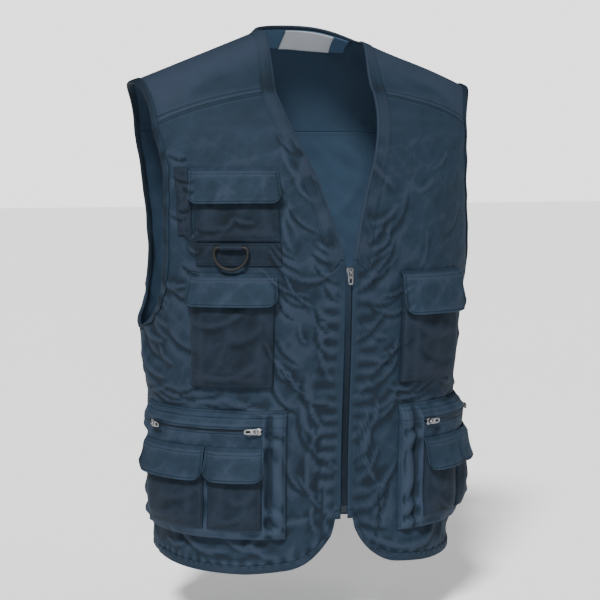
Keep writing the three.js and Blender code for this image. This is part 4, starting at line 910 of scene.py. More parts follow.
# A binding folded over an edge, from inside the vest round to its outer stitched side:
# distance in from the edge and height above the cloth
BINDING = ((7.0, -2.3), (4.0, -2.35), (1.6, -2.4), (-0.2, -2.2), (-1.0, -1.3), (-1.1, -0.4), (-0.7, 0.5),
           (0.3, 0.95), (1.6, 0.92), (3.2, 1.12), (5.0, 1.15))
BINDING_WALL = 0.75


def binding(width):
    """Places and heights across a binding of some width, with its stitched inner edge."""
    table = np.array(BINDING + ((width - 2.6, 1.12), (width - 1.9, 0.88), (width - 1.2, 0.98), (width, 0.80)))
    return table[:, 0] / width, table[:, 1]


def inset_share(place, rows, far, width):
    """Share of the way to the far edge that a band's width takes, for each row."""
    ends = place(np.array([0.0, far]), rows[:, None])
    return width / np.linalg.norm(ends[:, 1] - ends[:, 0], axis=-1)[:, None] * far


def raised_rows(place, across, rows, lift):
    """Rows of a band that lie across a surface, raised by their lift."""
    across, rows = np.broadcast_arrays(across, rows[:, None])
    return list(raised(place, across, rows, np.broadcast_to(lift, across.shape)))


def laid_rows(place, across, rows, lift):
    """Rows of a band whose surface takes a lift itself."""
    across, rows = np.broadcast_arrays(across, rows[:, None])
    return list(place(across, rows, np.broadcast_to(lift, across.shape)))


def build_armhole_band(side, name):
    acrosses, lift = binding(ARMHOLE_BAND)
    front = lambda u, v, lift=0.0: front_point(side, u, v, lift)
    over = lambda a, b: shoulder(side, a, b)
    v = np.linspace(UNDERARM_SHARE, 0, 46)
    rows = laid_rows(front, 1 - inset_share(front, v, 1.0, ARMHOLE_BAND) * acrosses, v, lift)
    t = np.linspace(0.06, 1.94, 60)
    rows += raised_rows(over, 1 - inset_share(over, t, 1.0, ARMHOLE_BAND) * acrosses, t, lift)
    v = np.linspace(0, BACK_UNDERARM, 46)
    u = inset_share(back_point, v, 0.5, ARMHOLE_BAND) * acrosses
    rows += laid_rows(back_point, u if side > 0 else 1 - u, v, lift)
    grid = np.array(rows)
    run = run_along(grid[:, 5])
    place = np.stack(np.broadcast_arrays(run[:, None], acrosses[None] * ARMHOLE_BAND), axis=-1)
    sew(name, leftward(-side, grid, place), BINDING_WALL, "band_twill", "stretched",
        ["yoke", "back_panel"], (None, run[-1]))


def v_row_at(drop):
    """Share down the front panel's inner edge at a drop."""
    top = float(front_seam_drop(0.0)) + FIT_GAP
    return (drop - top) / (float(front_bottom_drop(0.0)) - top)


def neck_band_side(side, acrosses, lift):
    front = lambda u, v, lift=0.0: front_point(side, u, v, lift)
    over = lambda a, b: shoulder(side, a, b)
    v = np.linspace(v_row_at(V_DROP - BAND_END_GAP), 0, 60)
    rows = laid_rows(front, inset_share(front, v, 1.0, NECK_BAND) * acrosses, v, lift)
    t = np.linspace(0.06, 1, 20)
    return rows + raised_rows(over, inset_share(over, t, 1.0, NECK_BAND) * acrosses, t, lift)


def build_neck_band():
    acrosses, lift = binding(NECK_BAND)
    turns = np.linspace(-80, 80, 41)
    share = inset_share(lambda t, turn: yoke_neck(turn, t), turns, 1.0, NECK_BAND) * acrosses
    turned, share = np.broadcast_arrays(turns[:, None], share)
    back = list(raised(yoke_neck, turned, share, np.broadcast_to(lift, share.shape)))
    grid = np.array(neck_band_side(-1, acrosses, lift) + back + neck_band_side(1, acrosses, lift)[::-1])
    run = run_along(grid[:, 6])
    place = np.stack(np.broadcast_arrays(run[:, None], acrosses[None] * NECK_BAND), axis=-1)
    sew("neck_band", (grid, place), BINDING_WALL, "band_twill", "stretched",
        ["yoke", "front_panel_right", "front_panel_left"], (None, run[-1]))


def build_neck_trim():
    facing_lift = -(CLOTH + BAND_SEAT)
    centre = np.array(0.0)
    length = float(np.linalg.norm(yoke_neck(centre, centre) - yoke_neck(centre, centre + 1)))
    turns, tt = mesh_grid(np.linspace(75, -75, 61), np.linspace(FACING_EDGE, NECK_FACING / length, 14))
    grid = raised(yoke_neck, turns, tt, facing_lift + 0 * tt)
    sew("neck_facing", (grid, np.stack([turns, -tt * length], axis=-1)), BAND_CLOTH,
        "facing_twill_painted_light", "hung", ["yoke"], (None, NECK_FACING))
    label_share = LABEL_HEIGHT / length
    across, down = np.linspace(LABEL_WIDTH / 2, -LABEL_WIDTH / 2, 31), np.linspace(0, label_share, 16)
    xs, tt = mesh_grid(across, FACING_EDGE + down)
    turns = np.arcsin(np.clip((xs + LABEL_SHIFT) / NECK_HALF, -1, 1)) / RADIANS
    hang = facing_lift - BAND_CLOTH - SEAT_GAP - 0.8 * np.sin(xs / 9 + 1) * soft(FACING_EDGE, label_share, tt)
    grid = raised(yoke_neck, turns, tt, hang)
    sew("neck_label", (grid, np.stack([xs, -tt * length], axis=-1)), LABEL_THICK,
        "label_satin", "hung", ["neck_facing"], (LABEL_WIDTH, LABEL_HEIGHT))


def build_hem_bands():
    insets, lift = binding(HEM_BAND)
    insets, lift = insets[::-1, None] * HEM_BAND, lift[::-1, None]
    for side, name in SIDES:
        u = np.linspace(0.02, 0.97, 130)[None, :]
        height = front_bottom_drop(u) - front_seam_drop(u)
        turned = np.where(u < 0.1, u + np.maximum(insets, 0) / (3 * HALF_CHEST), u)
        wave = 0.3 * np.sin(u * 150 + 2 * np.sin(u * 20)) * soft(3, HEM_BAND, insets)
        grid = front_point(side, turned, 1 - insets / height, lift + wave)
        run = edge_gap(grid)
        sew("hem_band_" + name, leftward(side, grid, np.stack([run, insets + 0 * run], axis=-1)),
            BINDING_WALL, "band_twill", "stretched", ["front_panel_" + name], (run.max(), None))
    u = np.linspace(1 / 16, 15 / 16, 150)[None, :]
    grid = back_point(u, 1 - insets / (BACK_BOTTOM - BACK_TOP), lift)
    run = edge_gap(grid)
    sew("hem_band_back", (grid, np.stack([run, insets + 0 * run], axis=-1)), BINDING_WALL,
        "band_twill", "stretched", ["back_panel"], (run.max(), None))


def side_gap_of(pocket, arc):
    """Distance in from the nearer side edge of a pocket."""
    return np.minimum(arc - pocket["start"], pocket["start"] + pocket["width"] - arc)


def patch_height(pocket, arc, drop):
    """Height of a patch pocket: stitched flat at its edges, then rising to a slack front."""
    edge, wide, high = side_gap_of(pocket, arc), pocket["width"], pocket["height"]
    down = drop - pocket["top"]
    up = high - down
    across = tent(((0, 0), (2, 0.78), (wide / 6, 1), (wide / 2, 1.12)), edge)
    across = across * (1 - 0.28 * np.exp(-((edge / 3.5) ** 2)))
    mouth = tent(((0, 0.55), (high * 0.3, 1), (high, 1)), down)
    foot = tent(((0, 0), (2, 0.8), (high / 6, 1)), up)
    belly = POCKET_BELLY * soft(1, 20, edge) * soft(0.1, 0.62, down / high) * soft(0, 13, up)
    return RIM_LIFT + (pocket["depth"] - RIM_LIFT) * across * mouth * foot + belly


def pocket_relief(pocket, arc, drop):
    """Folds of a patch pocket's own cloth, whose rows are in hundredths of its width and height."""
    down = (drop - pocket["top"]) / pocket["height"]
    inside = soft(0, 12, side_gap_of(pocket, arc)) * soft(0, 0.1, down) * (1 - soft(0.88, 1, down))
    folds = crease_height(pocket["creases"], (arc - pocket["start"]) / pocket["width"] * 100, down * 100)
    wave = 0.5 * np.sin(arc / 9 + drop / 21) * np.sin(drop / 13)
    return inside * (1.5 * folds + wave)


def build_pocket(pocket, ground, pitch=2.6):
    start, end, foot = pocket["start"], pocket["start"] + pocket["width"], pocket["top"] + pocket["height"]
    arcs = spread(start, end, pitch, near=(start, end), fine=0.9, reach=4)
    drops = spread(pocket["top"], foot, pitch, near=(foot,), fine=0.9, reach=4)
    aa, dd = mesh_grid(arcs, drops)
    edge = np.minimum(side_gap_of(pocket, aa), foot - dd)
    lift = ground(aa, dd) + patch_height(pocket, aa, dd) + pocket_relief(pocket, aa, dd)
    grid = cloth_point(pocket["side"] * aa, dd, lift + stitched_groove(edge, (EDGE_ROW,), 0.35, 0.7))
    sew(pocket["name"], laid(pocket["side"], grid, aa, dd), POCKET_CLOTH, "pocket_twill",
        "hung", [pocket["on"]])


def flap_ends(pocket):
    return pocket["start"] - FLAP_OVERHANG, pocket["start"] + pocket["width"] + FLAP_OVERHANG


def flap_shape(pocket, arc, share):
    """Distance in from a flap's sides, its length, its drop and its height, at a share of its length."""
    start, end = flap_ends(pocket)
    edge = np.minimum(arc - start, end - arc)
    bend = 1 - np.minimum(edge / FLAP_CORNER, 1)
    length = pocket["flap"] - FLAP_CORNER * (1 - np.sqrt(np.maximum(1 - bend * bend, 0)))
    drop = pocket["top"] - FLAP_LEAD + length * share
    under = np.clip(arc, pocket["start"] + 2, pocket["start"] + pocket["width"] - 2)
    cleared = patch_height(pocket, under, np.maximum(drop, pocket["top"])) + FLAP_CLOTH + FLAP_CLEAR
    rise = soft(0, FLAP_LEAD / pocket["flap"] * 1.3, share)
    height = (FLAP_CLOTH + SEAT_GAP) * (1 - rise) + rise * (cleared + FLAP_SPRING * share * share)
    wave = FLAP_WAVE * np.sin(arc / 11 + share * 2) * soft(0.2, 1, share) * soft(0, 14, edge)
    return edge, length, drop, height + wave


def build_flap(pocket, ground):
    ends = flap_ends(pocket)
    arcs = spread(*ends, 2.6, near=ends, fine=0.9, reach=FLAP_CORNER)
    shares = spread(0, 1, 0.05, near=(0.0, 1.0), fine=0.02, reach=0.1)
    aa, share = mesh_grid(arcs, shares)
    edge, length, drop, height = flap_shape(pocket, aa, share)
    rim = np.minimum(edge, (1 - share) * length)
    height = height + stitched_groove(rim, (FLAP_ROW,), 0.4, 0.7) * (share > 0.02)
    height = height + stitched_groove(share * pocket["flap"], (FLAP_TOP_ROW,), 0.4, 0.8)
    grid = cloth_point(pocket["side"] * aa, drop, ground(aa, drop) + height)
    name = pocket["name"].replace("pocket", "flap")
    sew(name, laid(pocket["side"], grid, aa, drop), FLAP_CLOTH, "flap_twill", "hung",
        [pocket["on"]])


def on_cloth(arc, drop):
    """Ground of a pocket that lies on the front panel."""
    return 0 * arc


def chest_pockets():
    """Every pocket of the chest: its place, size, flap length and creases."""
    lead = {"side": -1, "on": "front_panel_right"}
    chest = dict(lead, width=CHEST_WIDTH, top=CHEST_TOP + FLAP_LEAD, height=CHEST_HEIGHT - FLAP_LEAD)
    return (
        dict(chest, name="chest_pocket_right", start=CHEST_START, depth=CHEST_DEPTH, flap=CHEST_FLAP,
             creases=((8, 12, 60, 20, 9, -1.6), (30, 26, 96, 40, 7, 1.5), (10, 44, 50, 62, 12, -1.2),
                      (20, 78, 88, 88, 8, 1.2))),
        dict(chest, name="chest_pocket_left", start=LEFT_CHEST_START, depth=LEFT_CHEST_DEPTH,
             flap=LEFT_CHEST_FLAP, side=1, on="front_panel_left",
             creases=((10, 40, 80, 52, 12, 1.0), (20, 70, 90, 80, 12, -1.0))),
        dict(lead, name="upper_pocket", start=UPPER_START, width=UPPER_WIDTH, top=UPPER_TOP + FLAP_LEAD,
             height=UPPER_HEIGHT - FLAP_LEAD, depth=UPPER_DEPTH, flap=UPPER_FLAP,
             creases=((30, 74, 52, 66, 7, 1.8), (52, 66, 66, 84, 6, 1.6), (66, 84, 98, 82, 7, -1.0),
                      (4, 88, 30, 90, 8, 1.0))),
        dict(lead, name="pen_pocket", start=UPPER_START + UPPER_WIDTH + PEN_SPACE, width=PEN_WIDTH,
             top=UPPER_TOP, height=PEN_HEIGHT, depth=PEN_DEPTH, flap=0, pitch=2.0,
             creases=((10, 30, 90, 36, 8, 0.8), (10, 60, 90, 70, 8, 0.7))),
    )


def build_chest():
    for pocket in chest_pockets():
        build_pocket(pocket, on_cloth, pocket.get("pitch", 2.6))
        if pocket["flap"]:
            build_flap(pocket, on_cloth)


def build_ring_band():
    arcs = spread(UPPER_START, UPPER_START + UPPER_WIDTH, 2.6)
    aa, dd = mesh_grid(arcs, np.linspace(BAND_TOP, BAND_TOP + RING_BAND_HEIGHT, 22))
    gap = np.minimum(dd - BAND_TOP, BAND_TOP + RING_BAND_HEIGHT - dd)
    wave = 0.3 * np.sin(aa / 8) * soft(2, 8, gap)
    grid = cloth_point(-aa, dd,
                       SEAT_GAP + RING_BAND_CLOTH + stitched_groove(gap, (FLAP_ROW,), 0.35, 0.7) + wave)
    sew("ring_band", laid(-1, grid, aa, dd), RING_BAND_CLOTH, "pocket_twill", "stretched",
        ["front_panel_right"], (None, RING_BAND_HEIGHT))


def local_frame(arc, drop, lift, roll=0.0):
    """Place of a hard piece: x to the wearer's right, y outwards and z up, turned by roll about y."""
    arc, drop = float(arc), float(drop)
    angle = float(angle_at(arc, drop))
    out = outward(np.array(angle), np.array(drop)).reshape(3)
    right = unit(trunk(angle_at(arc - 1, drop), drop) - trunk(angle_at(arc + 1, drop), drop)).reshape(3)
    right = unit(right - out * (right @ out))
    up = np.cross(right, out)
    height = float(fold_height(np.array(angle), np.array(drop))) + lift
    turn = Matrix((right, out, up)).transposed().to_4x4() @ Matrix.Rotation(roll, 4, "Y")
    return Matrix.Translation(Vector(trunk(angle, drop).reshape(3) + out * height) * MM) @ turn


def clear_selection():
    bpy.ops.object.select_all(action="DESELECT")


def make_active(piece):
    clear_selection()
    piece.select_set(True)
    bpy.context.view_layer.objects.active = piece


def apply_place():
    bpy.ops.object.transform_apply(location=True, rotation=True, scale=True)


def settle(name, matrix, body_name, kind, replaced=(), angle=35):
    """Names the active piece, moves its mesh into place and gives it its finish."""
    piece = bpy.context.active_object
    piece.name = piece.data.name = name
    apply_place()
    piece.data.transform(matrix)
    piece.data.update()
    bpy.ops.object.shade_smooth_by_angle(angle=angle * RADIANS)
    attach(piece, body_name)
    dress(piece, kind)
    if replaced:
        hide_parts(*replaced)


def ring_frame():
    return local_frame(-RING_ALONG - UPPER_START, BAND_TOP + TAB_LENGTH,
                       SEAT_GAP + RING_BAND_CLOTH + TAB_SEAT + RING_WIRE / 2 + TURN_GAP + TAB_CLOTH)


def draw_loop(kind, first, second):
    """Carries the selected ring of edges along: straight by a shift, or round a centre."""
    if kind == "line":
        bpy.ops.mesh.extrude_region_move(TRANSFORM_OT_translate={"value": (first * MM, 0, second * MM)})
    else:
        turn, steps = (math.pi / 2, 6) if kind == "corner" else (math.pi, 32)
        bpy.ops.mesh.spin(steps=steps, angle=-turn, center=(first * MM, 0, second * MM), axis=(0, 1, 0))


def build_ring():
    half, fall = (RING_WIDTH - RING_WIRE) / 2, RING_HEIGHT - RING_WIRE
    bar, sink = half - RING_BEND, fall - half - RING_BEND
    clear_selection()
    bpy.ops.mesh.primitive_circle_add(vertices=14, radius=RING_WIRE / 2 * MM, rotation=(0, math.pi / 2, 0))
    apply_place()
    bpy.ops.object.mode_set(mode="EDIT")
    bpy.ops.mesh.select_all(action="SELECT")
    for step in (("line", bar, 0), ("corner", bar, -RING_BEND), ("line", 0, -sink),
                 ("half", 0, -RING_BEND - sink), ("line", 0, sink), ("corner", -bar, -RING_BEND),
                 ("line", bar, 0)):
        draw_loop(*step)
    bpy.ops.mesh.select_all(action="SELECT")
    bpy.ops.mesh.remove_doubles(threshold=1e-5)
    bpy.ops.mesh.normals_make_consistent(inside=False)
    bpy.ops.object.mode_set(mode="OBJECT")
    settle("d_ring_wire", ring_frame(), "d_ring", "ring_enamel", ("d_ring",), 60)


def build_ring_tab():
    """Loop of cloth round the ring's bar, sewn to the band above it at both ends."""
    radius = RING_WIRE / 2 + TURN_GAP + TAB_CLOTH
    sewn_end = TAB_LENGTH - TAB_SEAM_GAP
    turns = np.linspace(-math.pi / 2, math.pi / 2, 28)
    loop = np.stack([-radius * np.cos(turns), radius * np.sin(turns)], axis=-1)
    profile = np.concatenate([
        [(sewn_end, 0.1 - radius), (TAB_LENGTH * 0.5, 0.1 - radius)], loop,
        [(TAB_LENGTH * 0.35, radius * 0.55), (sewn_end, TAB_CLOTH + 0.35 - radius)]])
    xs = np.linspace(-TAB_WIDTH / 2, TAB_WIDTH / 2, 25)
    matrix = ring_frame()
    grid = np.array([[matrix @ Vector((-x * MM, y * MM, z * MM)) / MM for x in xs] for z, y in profile])
    run = run_along(profile)
    place = np.stack(np.broadcast_arrays(xs[None], run[:, None]), axis=-1)
    sew("ring_tab", (grid[::-1], place[::-1]), TAB_CLOTH, "pocket_twill", "folded",
        ["ring_band"], (TAB_WIDTH, run[-1]))


def lower_edge(arc):
    """Distance in from the nearer side edge of a lower pocket."""
    return np.minimum(arc - LOWER_START, LOWER_END - arc)


def lower_lift(arc, drop):
    """Height of a lower pocket's cloth over the front panel, with its bellows pleats."""
    edge = lower_edge(arc)
    face = 0.1 * np.sin((math.pi / 2) * np.clip((edge - LOWER_PLEAT) / (LOWER_WIDTH / 2 - LOWER_PLEAT), 0, 1))
    across = tent(PLEAT, np.maximum(edge, 0) / LOWER_PLEAT) + face
    slope = tent(ZIP_SLOPE, (drop - LOWER_TOP) / LOWER_ZIP_FALL)
    foot = tent(((0, 0), (0.2, 0.7), (1, 1)), (LOWER_BOTTOM - drop) / LOWER_FOOT)
    return RIM_LIFT + (LOWER_DEPTH - RIM_LIFT) * across * slope * foot


def slot_half(arc):
    """Half of the zip's slot, tapered at both ends."""
    edge = lower_edge(arc) - LOWER_PLEAT
    return np.maximum(FIT_GAP, (POCKET_ZIP_WIDTH / 2) * np.clip(edge / SLOT_TAPER, 0, 1))


def lip_half(arc):
    """Half of the opening between the lips that cover the pocket's zip."""
    return np.minimum(slot_half(arc), LIP_GAP)


def lower_relief(arc, drop):
    """Folds of the bellows pocket's cloth, on its pleats and below the small pockets."""
    edge = lower_edge(arc)
    pleat = 1 - soft(LOWER_PLEAT - 4, LOWER_PLEAT + 2, edge)
    wave = np.sin(drop / 5.5 + 2 * np.sin(drop / 19) + arc / 9)
    ripple = 2.3 * wave * pleat * soft(0, 6, edge) * soft(LOWER_TOP, LOWER_TOP + 30, drop)
    face = 0.4 * np.sin(arc / 17 + drop / 9) * (1 - pleat)
    return (ripple + face) * (1 - soft(LOWER_BOTTOM - 12, LOWER_BOTTOM, drop))


def small_pockets(side, name):
    """Both small pockets on a lower pocket, the front one first."""
    side_width = FACE_END - FACE_START - 2 * SMALL_EDGE - SMALL_SPACE - SMALL_FRONT_WIDTH
    start = FACE_START + SMALL_EDGE
    common = {"side": side, "on": "lower_pocket_" + name, "top": LOWER_TOP + SMALL_TOP_FALL + FLAP_LEAD,
              "height": SMALL_HEIGHT - FLAP_LEAD, "depth": SMALL_DEPTH, "flap": SMALL_FLAP,
              "creases": ((8, 50, 60, 62, 14, 0.8), (30, 78, 92, 90, 9, 1.0), (10, 24, 90, 30, 14, -0.6))}
    return (dict(common, name=f"small_pocket_{name}_front", start=start, width=SMALL_FRONT_WIDTH),
            dict(common, name=f"small_pocket_{name}_side", start=start + SMALL_FRONT_WIDTH + SMALL_SPACE,
                 width=side_width))


def build_lower(side, name):
    near = (LOWER_START, FACE_START, FACE_END, LOWER_END)
    arcs = spread(LOWER_START, LOWER_END, 3.0, near=near, fine=1.0, reach=5)
    panel = ["front_panel_" + name]
    aa, share = mesh_grid(arcs, spread(0, 1, 0.024, near=(0.0, 1.0), fine=0.008, reach=0.03))
    mouth = LOWER_ZIP + lip_half(aa)
    drop = mouth + share * (LOWER_BOTTOM - mouth)
    gap = drop - mouth
    edge = np.minimum(np.minimum(aa - arcs[0], arcs[-1] - aa), LOWER_BOTTOM - drop)
    lift = lower_lift(aa, drop) + lower_relief(aa, drop) * soft(0, 10, gap)
    lift = lift + stitched_groove(gap, (FLAP_ROW,), 0.4, 0.7) + stitched_groove(edge, (EDGE_ROW,), 0.35, 0.7)
    grid = cloth_point(side * aa, drop, lift)
    sew("lower_pocket_" + name, laid(side, grid, aa, drop), POCKET_CLOTH, "bellows_twill_painted_light",
        "hung", panel)
    aa, share = mesh_grid(arcs, np.linspace(0, 1, 22))
    mouth = LOWER_ZIP - lip_half(aa)
    drop = LOWER_TOP + share * (mouth - LOWER_TOP)
    lift = lower_lift(aa, drop) + stitched_groove(mouth - drop, (FLAP_ROW,), 0.4, 0.7)
    lift = lift + stitched_groove(drop - LOWER_TOP, (EDGE_ROW, LOWER_TOP_ROW), 0.4, 0.8)
    lift = lift + 0.35 * np.sin(aa / 10 + 1) * soft(0, 0.4, share) * (1 - soft(0.7, 1, share))
    grid = cloth_point(side * aa, drop, lift)
    sew("lower_top_" + name, laid(side, grid, aa, drop), POCKET_CLOTH, "bellows_twill_painted_light",
        "hung", panel)
    for pocket in small_pockets(side, name):
        build_pocket(pocket, lower_lift, 2.4)
        build_flap(pocket, lower_lift)


def build_tape(name, side, arcs, drops, lift, ground=on_cloth):
    """A zip tape, laid out by arc and drop."""
    aa, dd = mesh_grid(arcs, drops)
    grid = cloth_point(side * aa, dd, ground(aa, dd) + lift)
    sew(name, laid(side, grid, aa, dd), TAPE_THICK, "tape_weave", "stretched",
        ["front_panel_right"])


def tooth_block():
    """One tooth, two across each way, with its outer face drawn in."""
    clear_selection()
    bpy.ops.mesh.primitive_cube_add(size=2, location=(0, 0, 0))
    block = bpy.context.active_object
    bpy.ops.object.mode_set(mode="EDIT")
    bpy.ops.mesh.select_mode(type="FACE")
    bpy.ops.mesh.select_all(action="DESELECT")
    bpy.ops.object.mode_set(mode="OBJECT")
    for face in block.data.polygons:
        face.select = face.normal.y > 0.5
    bpy.ops.object.mode_set(mode="EDIT")
    bpy.ops.transform.resize(value=(0.8, 1, 0.7))
    bpy.ops.mesh.select_mode(type="VERT")
    bpy.ops.object.mode_set(mode="OBJECT")
    return block


def tooth_row(name, places, replaced):
    """Moulded teeth, one copy of the block for each place: its frame and its half sizes."""
    block = tooth_block()
    points = [np.array(vert.co) for vert in block.data.vertices]
    quads = [np.array(face.vertices) for face in block.data.polygons]
    verts = [matrix @ Vector(point * half * MM) for matrix, half in places for point in points]
    faces = [(quad + len(points) * i).tolist() for i in range(len(places)) for quad in quads]
    bpy.data.objects.remove(block)
    piece = new_piece(name, verts, faces, "vest")
    piece.data.polygons.foreach_set("use_smooth", np.zeros(len(faces), bool))
    dress(piece, "dark_teeth")
    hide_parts(replaced)


def build_main_zip():
    end = ZIP_END_DROP - ZIP_STOP_LENGTH
    for side, name in SIDES:
        build_tape("zip_tape_" + name, side, np.linspace(TEETH_WIDTH / 2 + FIT_GAP, TAPE_WIDTH, 8),
                   np.arange(V_DROP, end, 3.0), -(CLOTH + BAND_SEAT))
    places = []
    for i, drop in enumerate(np.arange(V_DROP + TEETH_START, end, TEETH_PITCH)):
        matrix = local_frame(0.9 if i % 2 else -0.9, drop, TEETH_LIFT - TEETH_THICK / 2)
        places.append((matrix, np.array((1.6, TEETH_THICK / 2, 0.55))))
    tooth_row("zip_teeth_rows", places, "zip_teeth")
    clear_selection()
    bpy.ops.mesh.primitive_cube_add(size=1, location=(0, 0, 0))
    sizes = Vector((TEETH_WIDTH + 2, TEETH_THICK + 1, ZIP_STOP_LENGTH - 2 * FIT_GAP))
    bpy.context.active_object.scale = sizes * MM
    apply_place()
    bevel_all(0.6, 3)
    matrix = local_frame(0, ZIP_END_DROP - ZIP_STOP_LENGTH / 2, TEETH_LIFT - TEETH_THICK / 2)
    settle("zip_stop_box", matrix, "vest", "dark_teeth", ("zip_stop",))


def bevel_all(width, segments):
    bpy.ops.object.mode_set(mode="EDIT")
    bpy.ops.mesh.select_all(action="SELECT")
    bpy.ops.mesh.bevel(offset=width * MM, segments=segments, profile=0.6)
    bpy.ops.object.mode_set(mode="OBJECT")


def plate(outline, thick):
    """A flat plate with an outline given as x and z in millimetres, thickened along y."""
    clear_selection()
    bpy.ops.mesh.primitive_circle_add(vertices=len(outline), fill_type="NGON", location=(0, 0, 0))
    piece = bpy.context.active_object
    for vert, (x, z) in zip(piece.data.vertices, outline):
        vert.co = (x * MM, 0, z * MM)
    piece.data.update()
    thicken = piece.modifiers.new("thick", "SOLIDIFY")
    thicken.thickness, thicken.offset = thick * MM, 0
    bpy.ops.object.modifier_apply(modifier="thick")
    bpy.ops.object.mode_set(mode="EDIT")
    bpy.ops.mesh.select_all(action="SELECT")
    bpy.ops.mesh.normals_make_consistent(inside=False)
    bpy.ops.object.mode_set(mode="OBJECT")
    return piece


def mirrored(half_outline):
    """A closed outline from its half on one side, top to bottom."""
    return [(-x, z) for x, z in half_outline] + [(x, z) for x, z in reversed(half_outline)]


def build_slider(name, matrix):
    half, long = SLIDER_WIDTH / 2, SLIDER_LENGTH / 2
    outline = mirrored([(half * 0.18, long - 1.4), (half * 0.5, long), (half * 0.95, long - 2.2),
                        (half, long - 3.5), (half * 0.7, -long + 1), (half * 0.5, -long)])
    plates = plate(outline, SLIDER_PLATE)
    bevel_all(0.3, 2)
    plates.data.transform(Matrix.Translation((0, SLIDER_PLATE / 2 * MM, 0)))
    clear_selection()
    bpy.ops.mesh.primitive_torus_add(
        major_radius=(EYE_RADIUS + EYE_WALL / 2) * MM, minor_radius=EYE_WALL / 2 * MM, major_segments=28,
        minor_segments=12, rotation=(0, math.pi / 2, 0),
        location=(0, (SLIDER_PLATE + EYE_RADIUS) * MM, -EYE_DROP * MM))
    apply_place()
    bridge = bpy.context.active_object
    for vert in bridge.data.vertices:
        vert.co.x *= BRIDGE_WIDTH / EYE_WALL * 0.9
    make_active(plates)
    bridge.select_set(True)
    bpy.ops.object.join()
    settle(name + "_slider_body", matrix, "vest", "zip_nickel", (name + "_slider",), 40)


def build_pull(name, matrix):
    bar, wide, tip = PULL_THICK / 2, PULL_WIDTH / 2, -PULL_LENGTH
    tongue = plate(mirrored([(wide * 0.8, bar), (wide, bar - 0.8), (wide, tip * 0.55),
                             (wide * 0.92, tip * 0.8), (wide * 0.6, tip)]), PULL_THICK)
    slot_wide, slot_end = BRIDGE_WIDTH / 2 + TURN_GAP, -(EYE_RADIUS + EYE_WALL + 2 * TURN_GAP)
    cut_box(tongue, (-slot_wide, slot_wide), (slot_end, -bar))
    cut_box(tongue, (-wide * 0.42, wide * 0.42), (tip * 0.84, tip * 0.5))
    rounder = tongue.modifiers.new("round", "BEVEL")
    rounder.width, rounder.segments, rounder.limit_method = 0.3 * MM, 2, "ANGLE"
    bpy.ops.object.modifier_apply(modifier="round")
    pivot = matrix @ Matrix.Translation((0, (SLIDER_PLATE + EYE_RADIUS) * MM, -EYE_DROP * MM))
    settle(name + "_pull_tongue", pivot, name + "_pull", "zip_nickel", (name + "_pull",), 40)


def build_zip_head(name, arc, drop, lift, roll):
    matrix = local_frame(arc, drop, lift, roll)
    build_slider(name, matrix)
    build_pull(name, matrix)


def cut_box(piece, across, along):
    """Cuts a box through a plate, between two places across and two along."""
    clear_selection()
    bpy.ops.mesh.primitive_cube_add(size=1, location=(sum(across) / 2 * MM, 0, sum(along) / 2 * MM))
    cutter = bpy.context.active_object
    cutter.scale = ((across[1] - across[0]) * MM, 0.01, (along[1] - along[0]) * MM)
    apply_place()
    cut = piece.modifiers.new("cut", "BOOLEAN")
    cut.operation, cut.object, cut.solver = "DIFFERENCE", cutter, "EXACT"
    make_active(piece)
    bpy.ops.object.modifier_apply(modifier="cut")
    bpy.data.objects.remove(cutter)


def build_pocket_zip(side, name):
    half = POCKET_ZIP_WIDTH / 2 + TAPE_LAP
    sink = POCKET_CLOTH + TAPE_SEAT
    arcs = np.linspace(FACE_START + TAPE_INSET, FACE_END - TAPE_INSET, 60)
    drops = np.linspace(LOWER_ZIP - half, LOWER_ZIP + half, 7)
    build_tape("lower_zip_tape_" + name, side, arcs, drops, -sink, lower_lift)
    places = []
    for i, arc in enumerate(np.arange(FACE_START + SLOT_TAPER, FACE_END - SLOT_TAPER, COIL_PITCH)):
        ground = float(lower_lift(np.array(arc), np.array(LOWER_ZIP)))
        lift = ground - sink + POCKET_TEETH_THICK / 2 + BAND_SEAT * 0.6
        matrix = local_frame(side * arc, LOWER_ZIP + (0.7 if i % 2 else -0.7), lift)
        places.append((matrix, np.array((0.45, POCKET_TEETH_THICK / 2, 1.25))))
    tooth_row("lower_zip_coil_" + name, places, "lower_zip_teeth_" + name)


def build_pocket_heads(side, name):
    for end, arc, turn in (("front", FACE_START + FRONT_HEAD_INSET, 1),
                           ("side", FACE_END - SIDE_HEAD_INSET, -1)):
        lift = (float(lower_lift(np.array(float(arc)), np.array(float(LOWER_ZIP)))) + FIT_GAP
                + POCKET_HEAD_RISE)
        build_zip_head(f"lower_{name}_{end}", side * arc, LOWER_ZIP, lift, side * turn * math.pi / 2)


# Stitching
def stitch_line(points, normals, pitch=3.2, thick=0.5):
    """Thread stitches laid along a line of points, in millimetres, each a bead of three square rings."""
    points, normals = np.asarray(points), np.asarray(normals)
    run = run_along(points)
    count = max(int(run[-1] / pitch), 1)
    verts, faces = [], []
    for i in range(count):
        at = (np.array([0.1, 0.5, 0.9]) + i) * run[-1] / count
        p = np.stack([np.interp(at, run, points[:, k]) for k in range(3)], axis=-1)
        n = unit(np.stack([np.interp(at, run, normals[:, k]) for k in range(3)], axis=-1))
        aside = np.cross(unit(p[2] - p[0]), n[1])
        base = len(verts)
        for k, (wide, high) in enumerate(((0.35, -0.25), (0.5, 0.16), (0.35, -0.25))):
            centre = p[k] + n[1] * high * thick * 2
            for a, b in ((-1, 0), (0, 1), (1, 0), (0, -1)):
                verts.append(centre + aside * a * wide * thick + n[1] * b * wide * thick)
        for k in range(2):
            for m in range(4):
                a, b = base + 4 * k + m, base + 4 * k + (m + 1) % 4
                faces.append((a, b, b + 4, a + 4))
        faces.append((base + 3, base + 2, base + 1, base))
        faces.append((base + 8, base + 9, base + 10, base + 11))
    return verts, faces


